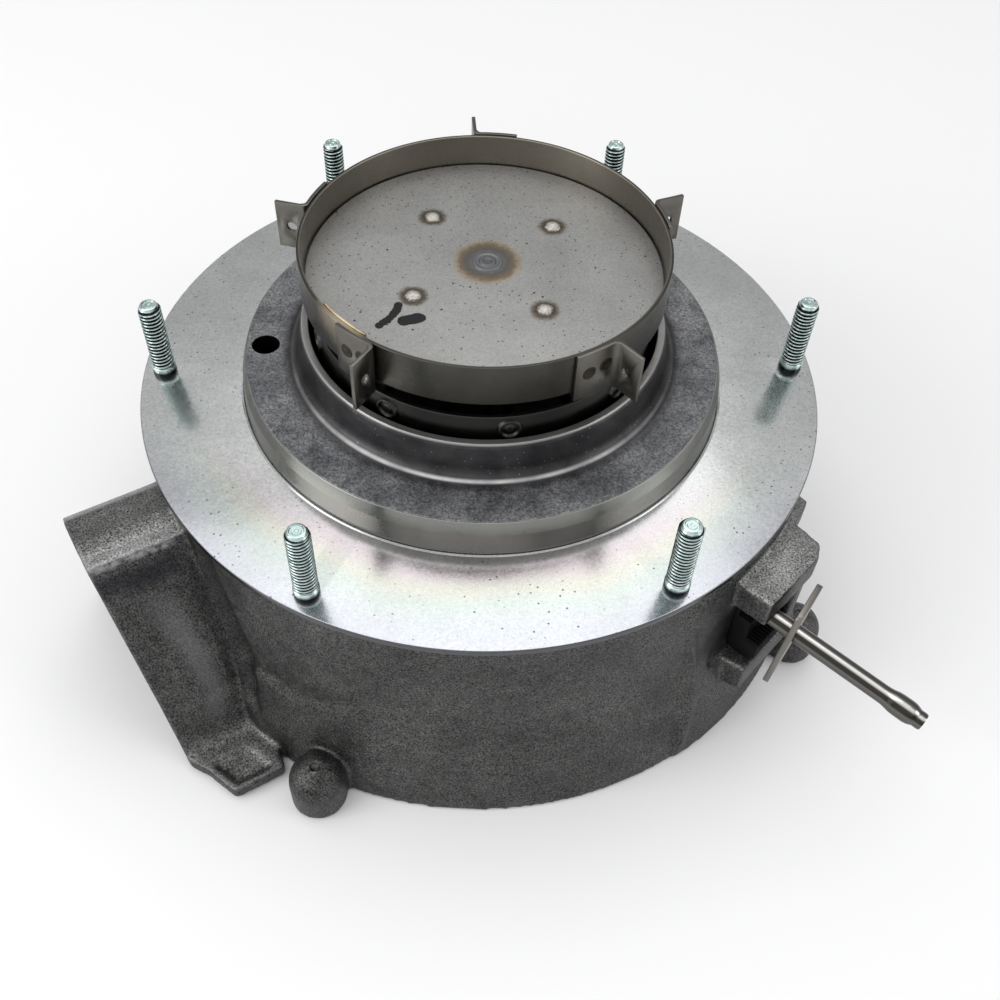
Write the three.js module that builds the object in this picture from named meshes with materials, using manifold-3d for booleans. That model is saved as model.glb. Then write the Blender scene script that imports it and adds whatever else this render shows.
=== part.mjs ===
// Combustion-air fan of a fuel-fired heater: a die-cast fan housing with a tangential air horn,
// a studded burner flange on top, a brushless motor and impeller inside, and the sheet-metal
// flame-holder (sleeve, ring band, brackets and baffle disc) that the air leaves through.
// Millimetres, +Z up. The origin is on the shaft axis at the underside of the bottom cover.
// Angles are degrees about +Z from +X, and every clearance between touching pieces is GAP.

import * as THREE from 'three';
import { mergeVertices } from 'three/addons/utils/BufferGeometryUtils.js';
import Module from 'manifold-3d';

const wasm = await Module();
wasm.setup();

// ---- driving dimensions ----------------------------------------------------------------------

const GAP = 0.3;
const WALL = 3.5;

const BASE_R = 102;
const WAIST_R = 95;
const WAIST_Z = 37;
const DECK_R = 93.8;
const DECK_Z = 67.7;
const DECK_T = 4;
const STEP_FOOT_R = 66.9;
const STEP_EDGE_R = 66.4;
const STEP_EDGE_Z = 76.7;
const STEP_R = 65.3;
const STEP_Z = 80.3;
const COLLAR_FOOT_R = 51.6;
const COLLAR_R = 49.6;
const COLLAR_BORE_R = 47.2;
const COLLAR_Z = 90.6;

const COVER_R = 98.2;
const COVER_T = 3.5;
const GASKET_T = 0.7;
const LEDGE_Z = COVER_T + GASKET_T + 2 * GAP;
const COVER_SCREW_SHANK_R = 2;
const COVER_SCREW_HEAD_R = 4.2;
const COVER_SCREW_TOP_Z = 15;
const COVER_SCREW_R = 88;
const COVER_SCREW_AZ = [20, 110, 200, 290];

const FLANGE_R = 95;
const FLANGE_BORE_R = STEP_FOOT_R + GAP;
const FLANGE_Z = 70;
const STUD_CIRCLE_R = 89.2;
const STUD_R = 3;
const STUD_COLLAR_R = 3.25;
const STUD_TOP_Z = 93.6;
const STUD_FOOT_Z = 58.4;
const STUD_BOSS_R = 5.6;
const STUD_AZ = [5, 65, 125, 185, 245, 305];

const HORN_AZ = -146;
const HORN_OFFSET = -4.5;
const HORN_FACE = 117;
const HORN_TILT = 4.4;
const HORN_TOP_Z = 65;
const HORN_TOP_HALF = 5.5;
const HORN_SHOULDER_HALF = 13.2;
const HORN_SHOULDER_Z = 61.5;
const HORN_FAR_TOP_HALF = 3.5;
const HORN_FAR_SHOULDER_HALF = 8.5;
const HORN_FOOT_HALF = 35.5;

const BOSS_AZ = [-111, -23, 67, 157];
const BOSS_CIRCLE_R = 106.4;
const BOSS_R = 7.7;
const BOSS_DOME_Z = 9;
const BOSS_THREAD_R = 2.1;
const LUG_T = 4.4;

const PORT_AZ = -40;
const SHELF_Z = 62;
const SHELF_UNDER_Z = 53;
const SILL_Z = 30;
const PORT_FACE = 95.2;
const PORT_NEAR = -2.5;
const PORT_FAR = 12;

const PIPE_R = 2.5;
const PIPE_BORE_R = 1.8;
const HOSE_BEAD_R = 3.05;
const PIPE_AZ = -36;
const PIPE_SLOPE = -6.5;
const PIPE_PLATE_POINT = new THREE.Vector3(86.5, -71.7, 49);
const PIPE_STICKOUT = 36;
const PIPE_CROSSING_Z = 60.4;
const PIPE_NOZZLE_Z = 80.5;
const PIPE_PLATE_SHIFT = -2;
const PIPE_PLATE_HALF_T = 0.8;
const PIPE_PLATE_PITCH = -4;
const PIPE_PLATE_YAW = -3;

const SENSOR_HOLE_R = 3.7;
const SENSOR_HOLE_AT = new THREE.Vector3(-59.5, -6.2, 0);

const SLEEVE_R = 45.2;
const SLEEVE_TOP_Z = 96;
const SLEEVE_FOOT_Z = 75;
const SLEEVE_FOOT_R = 59;
const RING_R = 48;
const RING_BOTTOM_Z = 103.1;
const RING_TOP_Z = 114.7;
const DISC_R = 46.7;
const DISC_Z = 105;
const SHEET_T = 1;
const SWIRL_Z = 82;
const SWIRL_SLOTS = 12;
const CUP_R = 9;
const LEG_T = 1.2;
const BRACKET_BOTTOM_Z = 101;
const BRACKET_REACH = 57;
const BRACKET_FOOT_SPAN = 14.5;
const BRACKET_AZ = [25, 97, 169, 241, 313];

const PARTITION_Z = 36;
const PARTITION_T = 1.5;
const PARTITION_SCREW_R = 86;
const PARTITION_SCREW_AZ = [80, 170, 260, 350];
const SLEEVE_SCREW_R = 55.5;
const SLEEVE_SCREW_AZ = [30, 150, 270];
const PAN_SCREW_R = 1.5;
const PAN_HEAD_R = 3;
const PAN_HEAD_H = 1.6;
const PAN_SCREW_LENGTH = 5;
const MOTOR_SCREW_R = 34;
const MOTOR_SCREW_AZ = [90, 210, 330];

const MOTOR_R = 28;
const MOTOR_CAN_T = 1.2;
const BASE_Z = COVER_T + GAP;
const CAN_TOP_Z = 34;
const CAN_FACE_T = 1.5;
const STATOR_BOTTOM_Z = 15;
const STATOR_TOP_Z = 25;
const STATOR_BORE_R = 15.4;
const YOKE_BORE_R = 23.4;
const TEETH = 6;
const TOOTH_HALF = 2.4;
const BOARD_Z = 10.2;
const BOARD_R = 26;
const ROTOR_BOTTOM_Z = 14.6;
const ROTOR_TOP_Z = 25.4;
const ROTOR_CORE_R = 11;
const MAGNET_R = 14.8;
const RACE_R = 9.5;
const RACE_BORE_R = 8;
const INNER_RACE_R = 4.8;
const BALL_R = 1.25;
const BALL_CIRCLE_R = 6.4;
const BALLS = 7;
const LOWER_BEARING_H = 6;
const UPPER_BEARING_H = 5;

const IMPELLER_R = 76;
const IMPELLER_EYE_R = 41;
const BLADES = 12;
const BACKPLATE_Z = 53.5;
const BACKPLATE_T = 1.5;
const SHROUD_Z = 42;
const BLADE_SWEEP = 30;
const SHAFT_R = 3;
const SHAFT_TOP_Z = 57.6;

// ---- materials -------------------------------------------------------------------------------

const material = (color, roughness, metalness) =>
  new THREE.MeshStandardMaterial({ color, roughness, metalness });

const castAluminium = material(0x5a5a57, 0.62, 0.7);
const zincPlate = material(0xb9bdb9, 0.28, 0.9);
const zincStud = material(0xa9b8b6, 0.3, 0.9);
const stainless = material(0x9c9a94, 0.34, 0.95);
const discSteel = material(0xa9a9a7, 0.5, 0.9);
const sleeveSteel = material(0x4d4d4b, 0.5, 0.85);
const tubeSteel = material(0x9a958b, 0.25, 0.95);
const blackRubber = material(0x161616, 0.8, 0);
const blackNylon = material(0x1d1d1e, 0.55, 0);
const copper = material(0xb36b3a, 0.35, 0.9);
const ferrite = material(0x2c2c2e, 0.6, 0.4);
const bearingSteel = material(0xc8cacc, 0.18, 1);
const boardGreen = material(0x1f4f33, 0.5, 0);

// ---- geometry helpers ------------------------------------------------------------------------

const rad = THREE.MathUtils.degToRad;
const point = (x, y) => new THREE.Vector2(x, y);
const polar = (r, az, z = 0) =>
  new THREE.Vector3(r * Math.cos(rad(az)), r * Math.sin(rad(az)), z);

// Signed area of a closed outline, positive when it runs counter-clockwise.
const area = (outline) => THREE.ShapeUtils.area(outline);

// A solid of revolution about Z from [r, z] pairs that close on themselves or on the axis.
function revolve(profile, segments = 36) {
  let outline = profile.map(([r, z]) => point(r, z));
  if (area(outline) < 0) outline = outline.reverse();
  const onAxis = outline.filter((p) => p.x === 0).length > 0;
  if (onAxis) {
    while (outline[0].x !== 0 || outline[outline.length - 1].x !== 0) outline.push(outline.shift());
  } else {
    outline.push(outline[0].clone());
  }
  return new THREE.LatheGeometry(outline, segments).rotateX(Math.PI / 2);
}

const ring = (inner, outer, bottom, top, segments) =>
  revolve([[inner, bottom], [outer, bottom], [outer, top], [inner, top]], segments);

const disc = (r, bottom, top, segments) =>
  revolve([[0, bottom], [r, bottom], [r, top], [0, top]], segments);

// A straight prism along +Z from an outline of [x, y] pairs.
function prism(outline, bottom, top) {
  const shape = new THREE.Shape(outline.map(([x, y]) => point(x, y)));
  const settings = { depth: top - bottom, bevelEnabled: false };
  return new THREE.ExtrudeGeometry(shape, settings).translate(0, 0, bottom);
}

// A box between two corners.
function block(low, high) {
  const size = high.map((value, i) => value - low[i]);
  const middle = high.map((value, i) => (value + low[i]) / 2);
  return new THREE.BoxGeometry(...size).translate(...middle);
}

const turned = (geometry, az) => geometry.clone().rotateZ(rad(az));
const moved = (geometry, to) => geometry.clone().translate(to.x, to.y, to.z);

const pipeAxis = new THREE.Vector3(
  Math.cos(rad(PIPE_AZ)) * Math.cos(rad(PIPE_SLOPE)),
  Math.sin(rad(PIPE_AZ)) * Math.cos(rad(PIPE_SLOPE)),
  Math.sin(rad(PIPE_SLOPE)),
);
const onPipe = (distance) => PIPE_PLATE_POINT.clone().addScaledVector(pipeAxis, distance);

// Turns a geometry's +Z along the straight outer run of the pipe.
function alongPipe(geometry, distance) {
  const at = onPipe(distance);
  return geometry.clone()
    .rotateY(Math.PI / 2 - rad(PIPE_SLOPE))
    .rotateZ(rad(PIPE_AZ))
    .translate(at.x, at.y, at.z);
}

// A closed manifold-3d solid from a three.js geometry.
function solid(geometry) {
  const bare = geometry.clone();
  bare.deleteAttribute('normal');
  bare.deleteAttribute('uv');
  const merged = mergeVertices(bare, 1e-4);
  const index = merged.index.array;
  const triangles = [];
  for (let i = 0; i < index.length; i += 3) {
    const [a, b, c] = [index[i], index[i + 1], index[i + 2]];
    if (a !== b && b !== c && c !== a) triangles.push(a, b, c);
  }
  return new wasm.Manifold(new wasm.Mesh({
    numProp: 3,
    vertProperties: Float32Array.from(merged.attributes.position.array),
    triVerts: Uint32Array.from(triangles),
  }));
}

function geometryOf(manifold) {
  const mesh = manifold.getMesh();
  const geometry = new THREE.BufferGeometry();
  const position = new THREE.BufferAttribute(new Float32Array(mesh.vertProperties), 3);
  geometry.setAttribute('position', position);
  geometry.setIndex(new THREE.BufferAttribute(new Uint32Array(mesh.triVerts), 1));
  geometry.computeVertexNormals();
  return geometry;
}

const join = (...geometries) =>
  geometryOf(geometries.map(solid).reduce((whole, piece) => whole.add(piece)));

const cut = (geometry, ...tools) =>
  geometryOf(tools.map(solid).reduce((whole, tool) => whole.subtract(tool), solid(geometry)));

const common = (a, b) => geometryOf(solid(a).intersect(solid(b)));

// ---- the assembly ----------------------------------------------------------------------------

const fan = new THREE.Group();

function add(name, geometry, finish, position = new THREE.Vector3(), az = 0) {
  const mesh = new THREE.Mesh(geometry, finish);
  mesh.name = name;
  mesh.position.copy(position);
  mesh.rotation.z = rad(az);
  fan.add(mesh);
  return mesh;
}

// ---- fan housing -----------------------------------------------------------------------------

// The horn's arch-shaped outline, moved in by inset, as [z, lateral] pairs. Its far shoulder,
// on the side away from the burner's fuel pipe, is the tighter one.
function hornOutline(inset) {
  const slope = inset * 1.06;
  const side = (sign, shoulderHalf, topHalf) => [
    [inset, sign * (HORN_FOOT_HALF - slope)],
    [HORN_SHOULDER_Z - 0.6 * inset, sign * (shoulderHalf - slope)],
    [HORN_TOP_Z - inset, sign * (topHalf - 0.4 * inset)],
  ];
  return [
    ...side(1, HORN_SHOULDER_HALF, HORN_TOP_HALF),
    ...side(-1, HORN_FAR_SHOULDER_HALF, HORN_FAR_TOP_HALF).reverse(),
  ];
}

// Stands a [z, lateral] outline up across the horn's axis, between two distances from the shaft.
function alongHorn(outline, from, to) {
  return prism(outline.map(([z, lateral]) => [z, -lateral]), from, to)
    .rotateY(-Math.PI / 2)
    .rotateZ(Math.PI)
    .translate(0, HORN_OFFSET, 0)
    .rotateZ(rad(HORN_AZ));
}

// Takes everything beyond the tilted mouth face off the horn.
function hornTrim() {
  return block([0, -60, -60], [40, 60, 90])
    .rotateY(rad(HORN_TILT))
    .translate(HORN_FACE, 0, HORN_TOP_Z / 2)
    .rotateZ(rad(HORN_AZ));
}

function domedBoss(az) {
  const steps = 3;
  const dome = Array.from({ length: steps + 1 }, (_, i) => {
    const angle = (i / steps) * (Math.PI / 2);
    return [BOSS_R * Math.cos(angle), BOSS_DOME_Z + BOSS_R * Math.sin(angle)];
  });
  dome[steps][0] = 0;
  const boss = revolve([[0, 0], [BOSS_R, 0], ...dome], 16);
  const web = block([-16, -5.5, 0], [0, 5.5, BOSS_DOME_Z]);
  return moved(turned(join(boss, web), az), polar(BOSS_CIRCLE_R, az));
}

// A sector of a ring between two angles, as an outline of [x, y] pairs.
function sector(inner, outer, from, to, steps = 6) {
  const arc = (r, a, b) => Array.from({ length: steps + 1 }, (_, i) => {
    const p = polar(r, a + ((b - a) * i) / steps);
    return [p.x, p.y];
  });
  return [...arc(outer, from, to), ...arc(inner, to, from)];
}

// The wall stands a little proud round the port.
function raisedPad() {
  const proud = 1.4;
  const skin = revolve([[80, 0], [BASE_R + proud, 0], [WAIST_R + proud, WAIST_Z],
    [DECK_R + proud, DECK_Z - 2.5], [80, DECK_Z - 2.5]]);
  return common(skin, prism(sector(70, 120, -53, -24), -1, DECK_Z));
}

function housing() {
  const shell = revolve([
    [0, 0], [BASE_R, 0], [WAIST_R, WAIST_Z], [DECK_R, DECK_Z], [STEP_FOOT_R, DECK_Z],
    [STEP_EDGE_R, STEP_EDGE_Z], [STEP_R, STEP_Z], [COLLAR_FOOT_R, STEP_Z],
    [COLLAR_R, COLLAR_Z], [0, COLLAR_Z],
  ]);
  const roofZ = DECK_Z - DECK_T;
  const neckZ = STEP_Z - DECK_T;
  const chamber = revolve([
    [0, -1], [COVER_R + GAP, -1], [COVER_R + GAP, LEDGE_Z], [COVER_R - WALL, LEDGE_Z],
    [WAIST_R - WALL, WAIST_Z], [DECK_R - WALL, roofZ], [STEP_FOOT_R - WALL, roofZ],
    [STEP_R - WALL, neckZ], [COLLAR_FOOT_R - 1, neckZ], [COLLAR_BORE_R, neckZ + 3],
    [COLLAR_BORE_R, COLLAR_Z + 1], [0, COLLAR_Z + 1],
  ]);
  const lugOutline = [[90, 30], [113, 30], [113, 38], [111.4, 41], [107.4, 51], [92.5, 51]];
  const hornFoot = [[0, 41.5], [4.4, 40.5], [7, 37], [11, 33.2], [11, 20], [0, 20]];
  const outside = join(
    shell,
    alongHorn(hornOutline(0), 84, HORN_FACE + 4),
    alongHorn(hornFoot, 84, HORN_FACE + 4),
    turned(prism(lugOutline, 0, LUG_T), HORN_AZ),
    ...BOSS_AZ.map(domedBoss),
    raisedPad(),
    turned(prism([[86, -6.5], [105, -6.5], [105.2, 15.5], [103, 19.8], [94.5, 21],
      [92.6, 30], [84, 30]], SHELF_UNDER_Z, SHELF_Z), PORT_AZ),
    turned(prism([[86, -8.5], [104, -6], [104, 19.8], [86, 19.8]], 20, SILL_Z), PORT_AZ),
    turned(prism([[86, 13.5], [104, 13.5], [103, 19.8], [86, 19.8]], SILL_Z - 1,
      SHELF_UNDER_Z + 1), PORT_AZ),
  );
  const duct = join(
    alongHorn(hornOutline(WALL), 96.5, HORN_FACE + 10),
    alongHorn([[7, -27], [7, 27], [32, 17], [32, -17]], 78, 98),
  );
  const port = turned(block([80, PORT_NEAR, SILL_Z + 2], [110, PORT_FAR, SHELF_UNDER_Z - 1]),
    PORT_AZ);
  const sill = turned(block([PORT_FACE, -12, SILL_Z], [110, 13.5, SHELF_UNDER_Z]), PORT_AZ);
  const pipeChannel = alongPipe(disc(PIPE_R + 1, -42, 0, 10), 0);
  const blindThreads = BOSS_AZ.map((az) =>
    moved(disc(BOSS_THREAD_R, -1, 10, 8), polar(BOSS_CIRCLE_R, az)));
  const hollow = cut(outside, chamber, duct, port, sill, pipeChannel, hornTrim());

  const sensorHole = moved(disc(SENSOR_HOLE_R, neckZ - 1, STEP_Z + 1, 20), SENSOR_HOLE_AT);
  const studBosses = STUD_AZ.map((az) =>
    moved(disc(STUD_BOSS_R, 56, DECK_Z, 10), polar(STUD_CIRCLE_R - 3, az)));
  const studHoles = STUD_AZ.map((az) =>
    moved(disc(STUD_R + GAP, 58, DECK_Z + 1, 10), polar(STUD_CIRCLE_R, az)));
  const coverBosses = COVER_SCREW_AZ.map((az) =>
    turned(block([82.5, -5.5, LEDGE_Z], [95.5, 5.5, 20]), az));
  const coverThreads = COVER_SCREW_AZ.map((az) =>
    moved(disc(COVER_SCREW_SHANK_R + GAP, 0, COVER_SCREW_TOP_Z + 1, 8), polar(COVER_SCREW_R, az)));
  const partitionPosts = PARTITION_SCREW_AZ.map((az) =>
    turned(block([81, -4.5, 20], [94, 4.5, PARTITION_Z - GAP]), az));
  const partitionThreads = PARTITION_SCREW_AZ.map((az) =>
    moved(disc(PAN_SCREW_R + GAP, 26, PARTITION_Z, 8), polar(PARTITION_SCREW_R, az)));
  const sleeveThreads = SLEEVE_SCREW_AZ.map((az) =>
    moved(disc(PAN_SCREW_R + GAP, neckZ - 1, neckZ + 2.6, 8), polar(SLEEVE_SCREW_R, az)));
  const withBosses = join(hollow, ...studBosses, ...coverBosses, ...partitionPosts);
  return cut(withBosses, sensorHole, ...blindThreads, ...studHoles, ...coverThreads,
    ...partitionThreads, ...sleeveThreads);
}

add('fan_housing', housing(), castAluminium);

// ---- bottom cover ----------------------------------------------------------------------------

const countersink = revolve([
  [0, -0.5], [COVER_SCREW_HEAD_R + 0.4, -0.5], [COVER_SCREW_HEAD_R + 0.4, 0.4],
  [COVER_SCREW_SHANK_R + GAP, 2.9], [COVER_SCREW_SHANK_R + GAP, 5], [0, 5],
], 10);

function bottomCover() {
  const plate = disc(COVER_R, 0, COVER_T);
  const holes = COVER_SCREW_AZ.map((az) => moved(countersink, polar(COVER_SCREW_R, az)));
  const motorThreads = MOTOR_SCREW_AZ.map((az) =>
    moved(disc(PAN_SCREW_R + GAP, 1.2, 5, 8), polar(MOTOR_SCREW_R, az)));
  return cut(plate, ...holes, ...motorThreads);
}

add('bottom_cover', bottomCover(), castAluminium);

add('cover_gasket', ring(94.5, COVER_R, COVER_T + GAP, COVER_T + GAP + GASKET_T), blackRubber);

const countersunkScrew = cut(
  revolve([
    [0, 0.2], [COVER_SCREW_HEAD_R, 0.2], [COVER_SCREW_HEAD_R, 0.5], [COVER_SCREW_SHANK_R, 2.7],
    [COVER_SCREW_SHANK_R, COVER_SCREW_TOP_Z], [0, COVER_SCREW_TOP_Z],
  ], 10),
  disc(1.4, -0.5, 1.6, 6),
);
COVER_SCREW_AZ.forEach((az, i) =>
  add(`cover_screw_${i + 1}`, countersunkScrew, zincStud, polar(COVER_SCREW_R, az)));

// ---- burner flange and studs -----------------------------------------------------------------

const flangeHoles = STUD_AZ.map((az) =>
  moved(disc(STUD_R + GAP, FLANGE_Z - 3, FLANGE_Z + 1, 12), polar(STUD_CIRCLE_R, az)));
add('burner_flange', cut(ring(FLANGE_BORE_R, FLANGE_R, DECK_Z + GAP, FLANGE_Z), ...flangeHoles),
  zincPlate);

const stud = revolve([
  [0, STUD_FOOT_Z], [STUD_R - 0.5, STUD_FOOT_Z], [STUD_R, STUD_FOOT_Z + 0.6],
  [STUD_R, FLANGE_Z + GAP],
  [STUD_COLLAR_R, FLANGE_Z + GAP], [STUD_COLLAR_R, FLANGE_Z + 2.6], [STUD_R, FLANGE_Z + 3],
  [STUD_R, STUD_TOP_Z - 0.8], [STUD_R - 0.8, STUD_TOP_Z], [0, STUD_TOP_Z],
], 10);
STUD_AZ.forEach((az, i) =>
  add(`flange_stud_${i + 1}`, stud, zincStud, polar(STUD_CIRCLE_R, az)));

// ---- flame holder: sleeve, swirl plate, ring band, disc ---------------------------------------

const sleeveWall = revolve([
  [SLEEVE_R - SHEET_T, SLEEVE_FOOT_Z], [SLEEVE_FOOT_R, SLEEVE_FOOT_Z],
  [SLEEVE_FOOT_R, SLEEVE_FOOT_Z + 1.3], [SLEEVE_R, SLEEVE_FOOT_Z + 1.3],
  [SLEEVE_R, SLEEVE_TOP_Z], [SLEEVE_R - SHEET_T, SLEEVE_TOP_Z],
], 28);
const sleeveHoles = SLEEVE_SCREW_AZ.map((az) =>
  moved(disc(PAN_SCREW_R + GAP, SLEEVE_FOOT_Z - 1, SLEEVE_FOOT_Z + 2, 8), polar(SLEEVE_SCREW_R, az)));
const sensorNotch = moved(
  disc(SENSOR_HOLE_R + 1.3, SLEEVE_FOOT_Z - 1, SLEEVE_FOOT_Z + 2, 20), SENSOR_HOLE_AT);
add('diffuser_sleeve', cut(sleeveWall, sensorNotch, ...sleeveHoles), sleeveSteel);

const panScrew = cut(
  revolve([
    [0, 0], [PAN_HEAD_R, 0], [PAN_HEAD_R, PAN_HEAD_H], [PAN_SCREW_R, PAN_HEAD_H],
    [PAN_SCREW_R, PAN_SCREW_LENGTH], [0, PAN_SCREW_LENGTH],
  ], 8),
  disc(1.1, -0.5, 0.9, 6),
);
SLEEVE_SCREW_AZ.forEach((az, i) =>
  add(`sleeve_screw_${i + 1}`, panScrew, zincStud,
    polar(SLEEVE_SCREW_R, az, SLEEVE_FOOT_Z - PAN_HEAD_H - GAP)));

const slot = block([16, -1.5, SWIRL_Z - 1], [38, 1.5, SWIRL_Z + 2]);
const swirlSlots = Array.from({ length: SWIRL_SLOTS }, (_, i) =>
  turned(moved(slot, new THREE.Vector3(0, 8, 0)), (i * 360) / SWIRL_SLOTS));
const swirlDisc = ring(CUP_R + GAP, SLEEVE_R - SHEET_T - GAP, SWIRL_Z, SWIRL_Z + SHEET_T, 28);
add('swirl_plate', cut(swirlDisc, ...swirlSlots), sleeveSteel);

add('fuel_cup', revolve([
  [PIPE_R + GAP, 78], [CUP_R - 3, 78], [CUP_R, 81.7], [CUP_R, 90], [CUP_R - 1.2, 90],
  [CUP_R - 1.2, 83.4], [PIPE_R + GAP, 81.4],
], 20), stainless);

// Star under the disc with four legs that stand on the swirl plate inside the sleeve.
function baffleSupport() {
  const under = DISC_Z - GAP;
  const legFoot = SWIRL_Z + SHEET_T + GAP;
  const legs = [45, 135, 225, 315].map((az) => {
    const profile = [
      [6, under - LEG_T], [28, under - LEG_T], [40, legFoot], [43, legFoot],
      [43, legFoot + LEG_T + 0.1], [41, legFoot + LEG_T + 0.1], [29, under], [6, under],
    ];
    return turned(prism(profile, -4, 4).rotateX(Math.PI / 2), az);
  });
  return join(disc(11, under - LEG_T, under, 24), ...legs);
}

add('baffle_support', baffleSupport(), stainless);
add('baffle_disc', disc(DISC_R, DISC_Z, DISC_Z + SHEET_T), discSteel);
add('burner_ring', ring(RING_R - SHEET_T, RING_R, RING_BOTTOM_Z, RING_TOP_Z), stainless);

// L-bracket: a foot welded to the ring band, and a drilled ear that stands out radially.
function bracket() {
  const foot = prism(sector(RING_R + GAP, RING_R + GAP + SHEET_T, -BRACKET_FOOT_SPAN, 0, 4),
    BRACKET_BOTTOM_Z, RING_TOP_Z);
  const ear = block([RING_R + GAP, -SHEET_T, BRACKET_BOTTOM_Z], [BRACKET_REACH, 0, RING_TOP_Z]);
  const hole = disc(1.4, -3, 3, 12).rotateX(Math.PI / 2).translate(52.6, -0.5, 107.7);
  return cut(join(foot, ear), hole);
}

const bracketGeometry = bracket();
BRACKET_AZ.forEach((az, i) =>
  add(`ring_bracket_${i + 1}`, bracketGeometry, stainless, undefined, az));

// ---- fuel pipe, its plate and the port grommet -----------------------------------------------

function circleShape(r, bore) {
  const shape = new THREE.Shape().absarc(0, 0, r, 0, 2 * Math.PI);
  shape.holes.push(new THREE.Path().absarc(0, 0, bore, 0, 2 * Math.PI, true));
  return shape;
}

function pipeRoute() {
  const outer = onPipe(PIPE_STICKOUT);
  const inner = onPipe(-22);
  const over = polar(70, PIPE_AZ - 4, PIPE_CROSSING_Z);
  const nearCentre = new THREE.Vector3(7, -5, PIPE_CROSSING_Z);
  const corner = new THREE.Vector3(0, 0, PIPE_CROSSING_Z);
  const upright = new THREE.Vector3(0, 0, 68);
  const nozzle = new THREE.Vector3(0, 0, PIPE_NOZZLE_Z);
  const route = new THREE.CurvePath();
  route.add(new THREE.LineCurve3(outer, inner));
  route.add(new THREE.CubicBezierCurve3(inner, onPipe(-29),
    polar(80, PIPE_AZ - 3, PIPE_CROSSING_Z), over));
  route.add(new THREE.LineCurve3(over, nearCentre));
  route.add(new THREE.QuadraticBezierCurve3(nearCentre, corner, upright));
  route.add(new THREE.LineCurve3(upright, nozzle));
  return route;
}

function fuelPipe() {
  const tube = new THREE.ExtrudeGeometry(circleShape(PIPE_R, PIPE_BORE_R), {
    extrudePath: pipeRoute(), steps: 28, curveSegments: 4, bevelEnabled: false,
  });
  const hoseBead = alongPipe(revolve([
    [PIPE_R - 0.4, -6.5], [HOSE_BEAD_R, -3], [HOSE_BEAD_R, 0], [PIPE_R - 0.4, 2.6],
  ], 12), PIPE_STICKOUT - 4.5);
  return join(tube, hoseBead);
}

add('fuel_pipe', fuelPipe(), tubeSteel);

function pipePlate() {
  const outline = [[-14.5, -7], [17.5, -7], [17.5, 7], [-14.5, 7]];
  const plate = prism(outline, -PIPE_PLATE_HALF_T, PIPE_PLATE_HALF_T)
    .rotateX(rad(PIPE_PLATE_PITCH))
    .rotateY(rad(PIPE_PLATE_YAW));
  return alongPipe(cut(plate, disc(PIPE_R + 1.5 * GAP, -3, 3, 16)), PIPE_PLATE_SHIFT);
}

add('fuel_pipe_plate', pipePlate(), stainless);

// The grommet fills the port opening and has a lip with upright ribs moulded on it.
function grommet() {
  const near = PORT_NEAR + GAP;
  const far = PORT_FAR - GAP;
  const ribPitch = 1.7;
  const inner = block([91, near, SILL_Z + 2.3], [96, far, SHELF_UNDER_Z - 1.3]);
  const face = block([95.5, near, SILL_Z + GAP], [100, far, 45]);
  const lip = block([99, near, SILL_Z + GAP], [103.2, far, 37]);
  const ribs = Array.from({ length: 8 }, (_, i) =>
    block([102.5, near + 0.5 + i * ribPitch, 31], [104, near + 1.4 + i * ribPitch, 37.6]));
  const body = turned(join(inner, face, lip, ...ribs), PORT_AZ);
  return cut(body, alongPipe(disc(PIPE_R + GAP, -40, 20, 12), 0));
}

add('port_grommet', grommet(), blackRubber);

// ---- inlet partition -------------------------------------------------------------------------

const partitionHoles = PARTITION_SCREW_AZ.map((az) =>
  moved(disc(PAN_SCREW_R + GAP, PARTITION_Z - 1, PARTITION_Z + 3, 8), polar(PARTITION_SCREW_R, az)));
const partitionSheet = revolve([
  [38, PARTITION_Z + 3.4], [39.2, PARTITION_Z + 3.4], [39.2, PARTITION_Z + PARTITION_T],
  [90, PARTITION_Z + PARTITION_T], [90, PARTITION_Z], [38, PARTITION_Z],
], 28);
add('inlet_partition', cut(partitionSheet, ...partitionHoles), zincPlate);

const partitionScrew = panScrew.clone().rotateX(Math.PI);
PARTITION_SCREW_AZ.forEach((az, i) =>
  add(`partition_screw_${i + 1}`, partitionScrew, zincStud,
    polar(PARTITION_SCREW_R, az, PARTITION_Z + PARTITION_T + GAP + PAN_HEAD_H)));

// ---- motor -----------------------------------------------------------------------------------

const motorBaseHoles = MOTOR_SCREW_AZ.map((az) =>
  moved(disc(PAN_SCREW_R + GAP, 0, 10, 8), polar(MOTOR_SCREW_R, az)));
const motorBase = revolve([
  [4.5, BASE_Z], [38, BASE_Z], [38, BASE_Z + 3], [12.5, BASE_Z + 3], [12.5, BASE_Z + 8.5],
  [9.8, BASE_Z + 8.5], [9.8, BASE_Z + 2], [4.5, BASE_Z + 2],
], 28);
add('motor_base', cut(motorBase, ...motorBaseHoles), castAluminium);

const motorScrew = panScrew.clone().rotateX(Math.PI);
MOTOR_SCREW_AZ.forEach((az, i) =>
  add(`motor_screw_${i + 1}`, motorScrew, zincStud,
    polar(MOTOR_SCREW_R, az, BASE_Z + 3 + GAP + PAN_HEAD_H)));

add('motor_can', revolve([
  [MOTOR_R - MOTOR_CAN_T, BASE_Z + 3 + GAP], [MOTOR_R, BASE_Z + 3 + GAP], [MOTOR_R, CAN_TOP_Z],
  [4.5, CAN_TOP_Z], [4.5, CAN_TOP_Z - CAN_FACE_T], [9.8, CAN_TOP_Z - CAN_FACE_T],
  [9.8, CAN_TOP_Z - 6], [12, CAN_TOP_Z - 6], [12, CAN_TOP_Z - CAN_FACE_T],
  [MOTOR_R - MOTOR_CAN_T, CAN_TOP_Z - CAN_FACE_T],
], 28), zincPlate);

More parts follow.
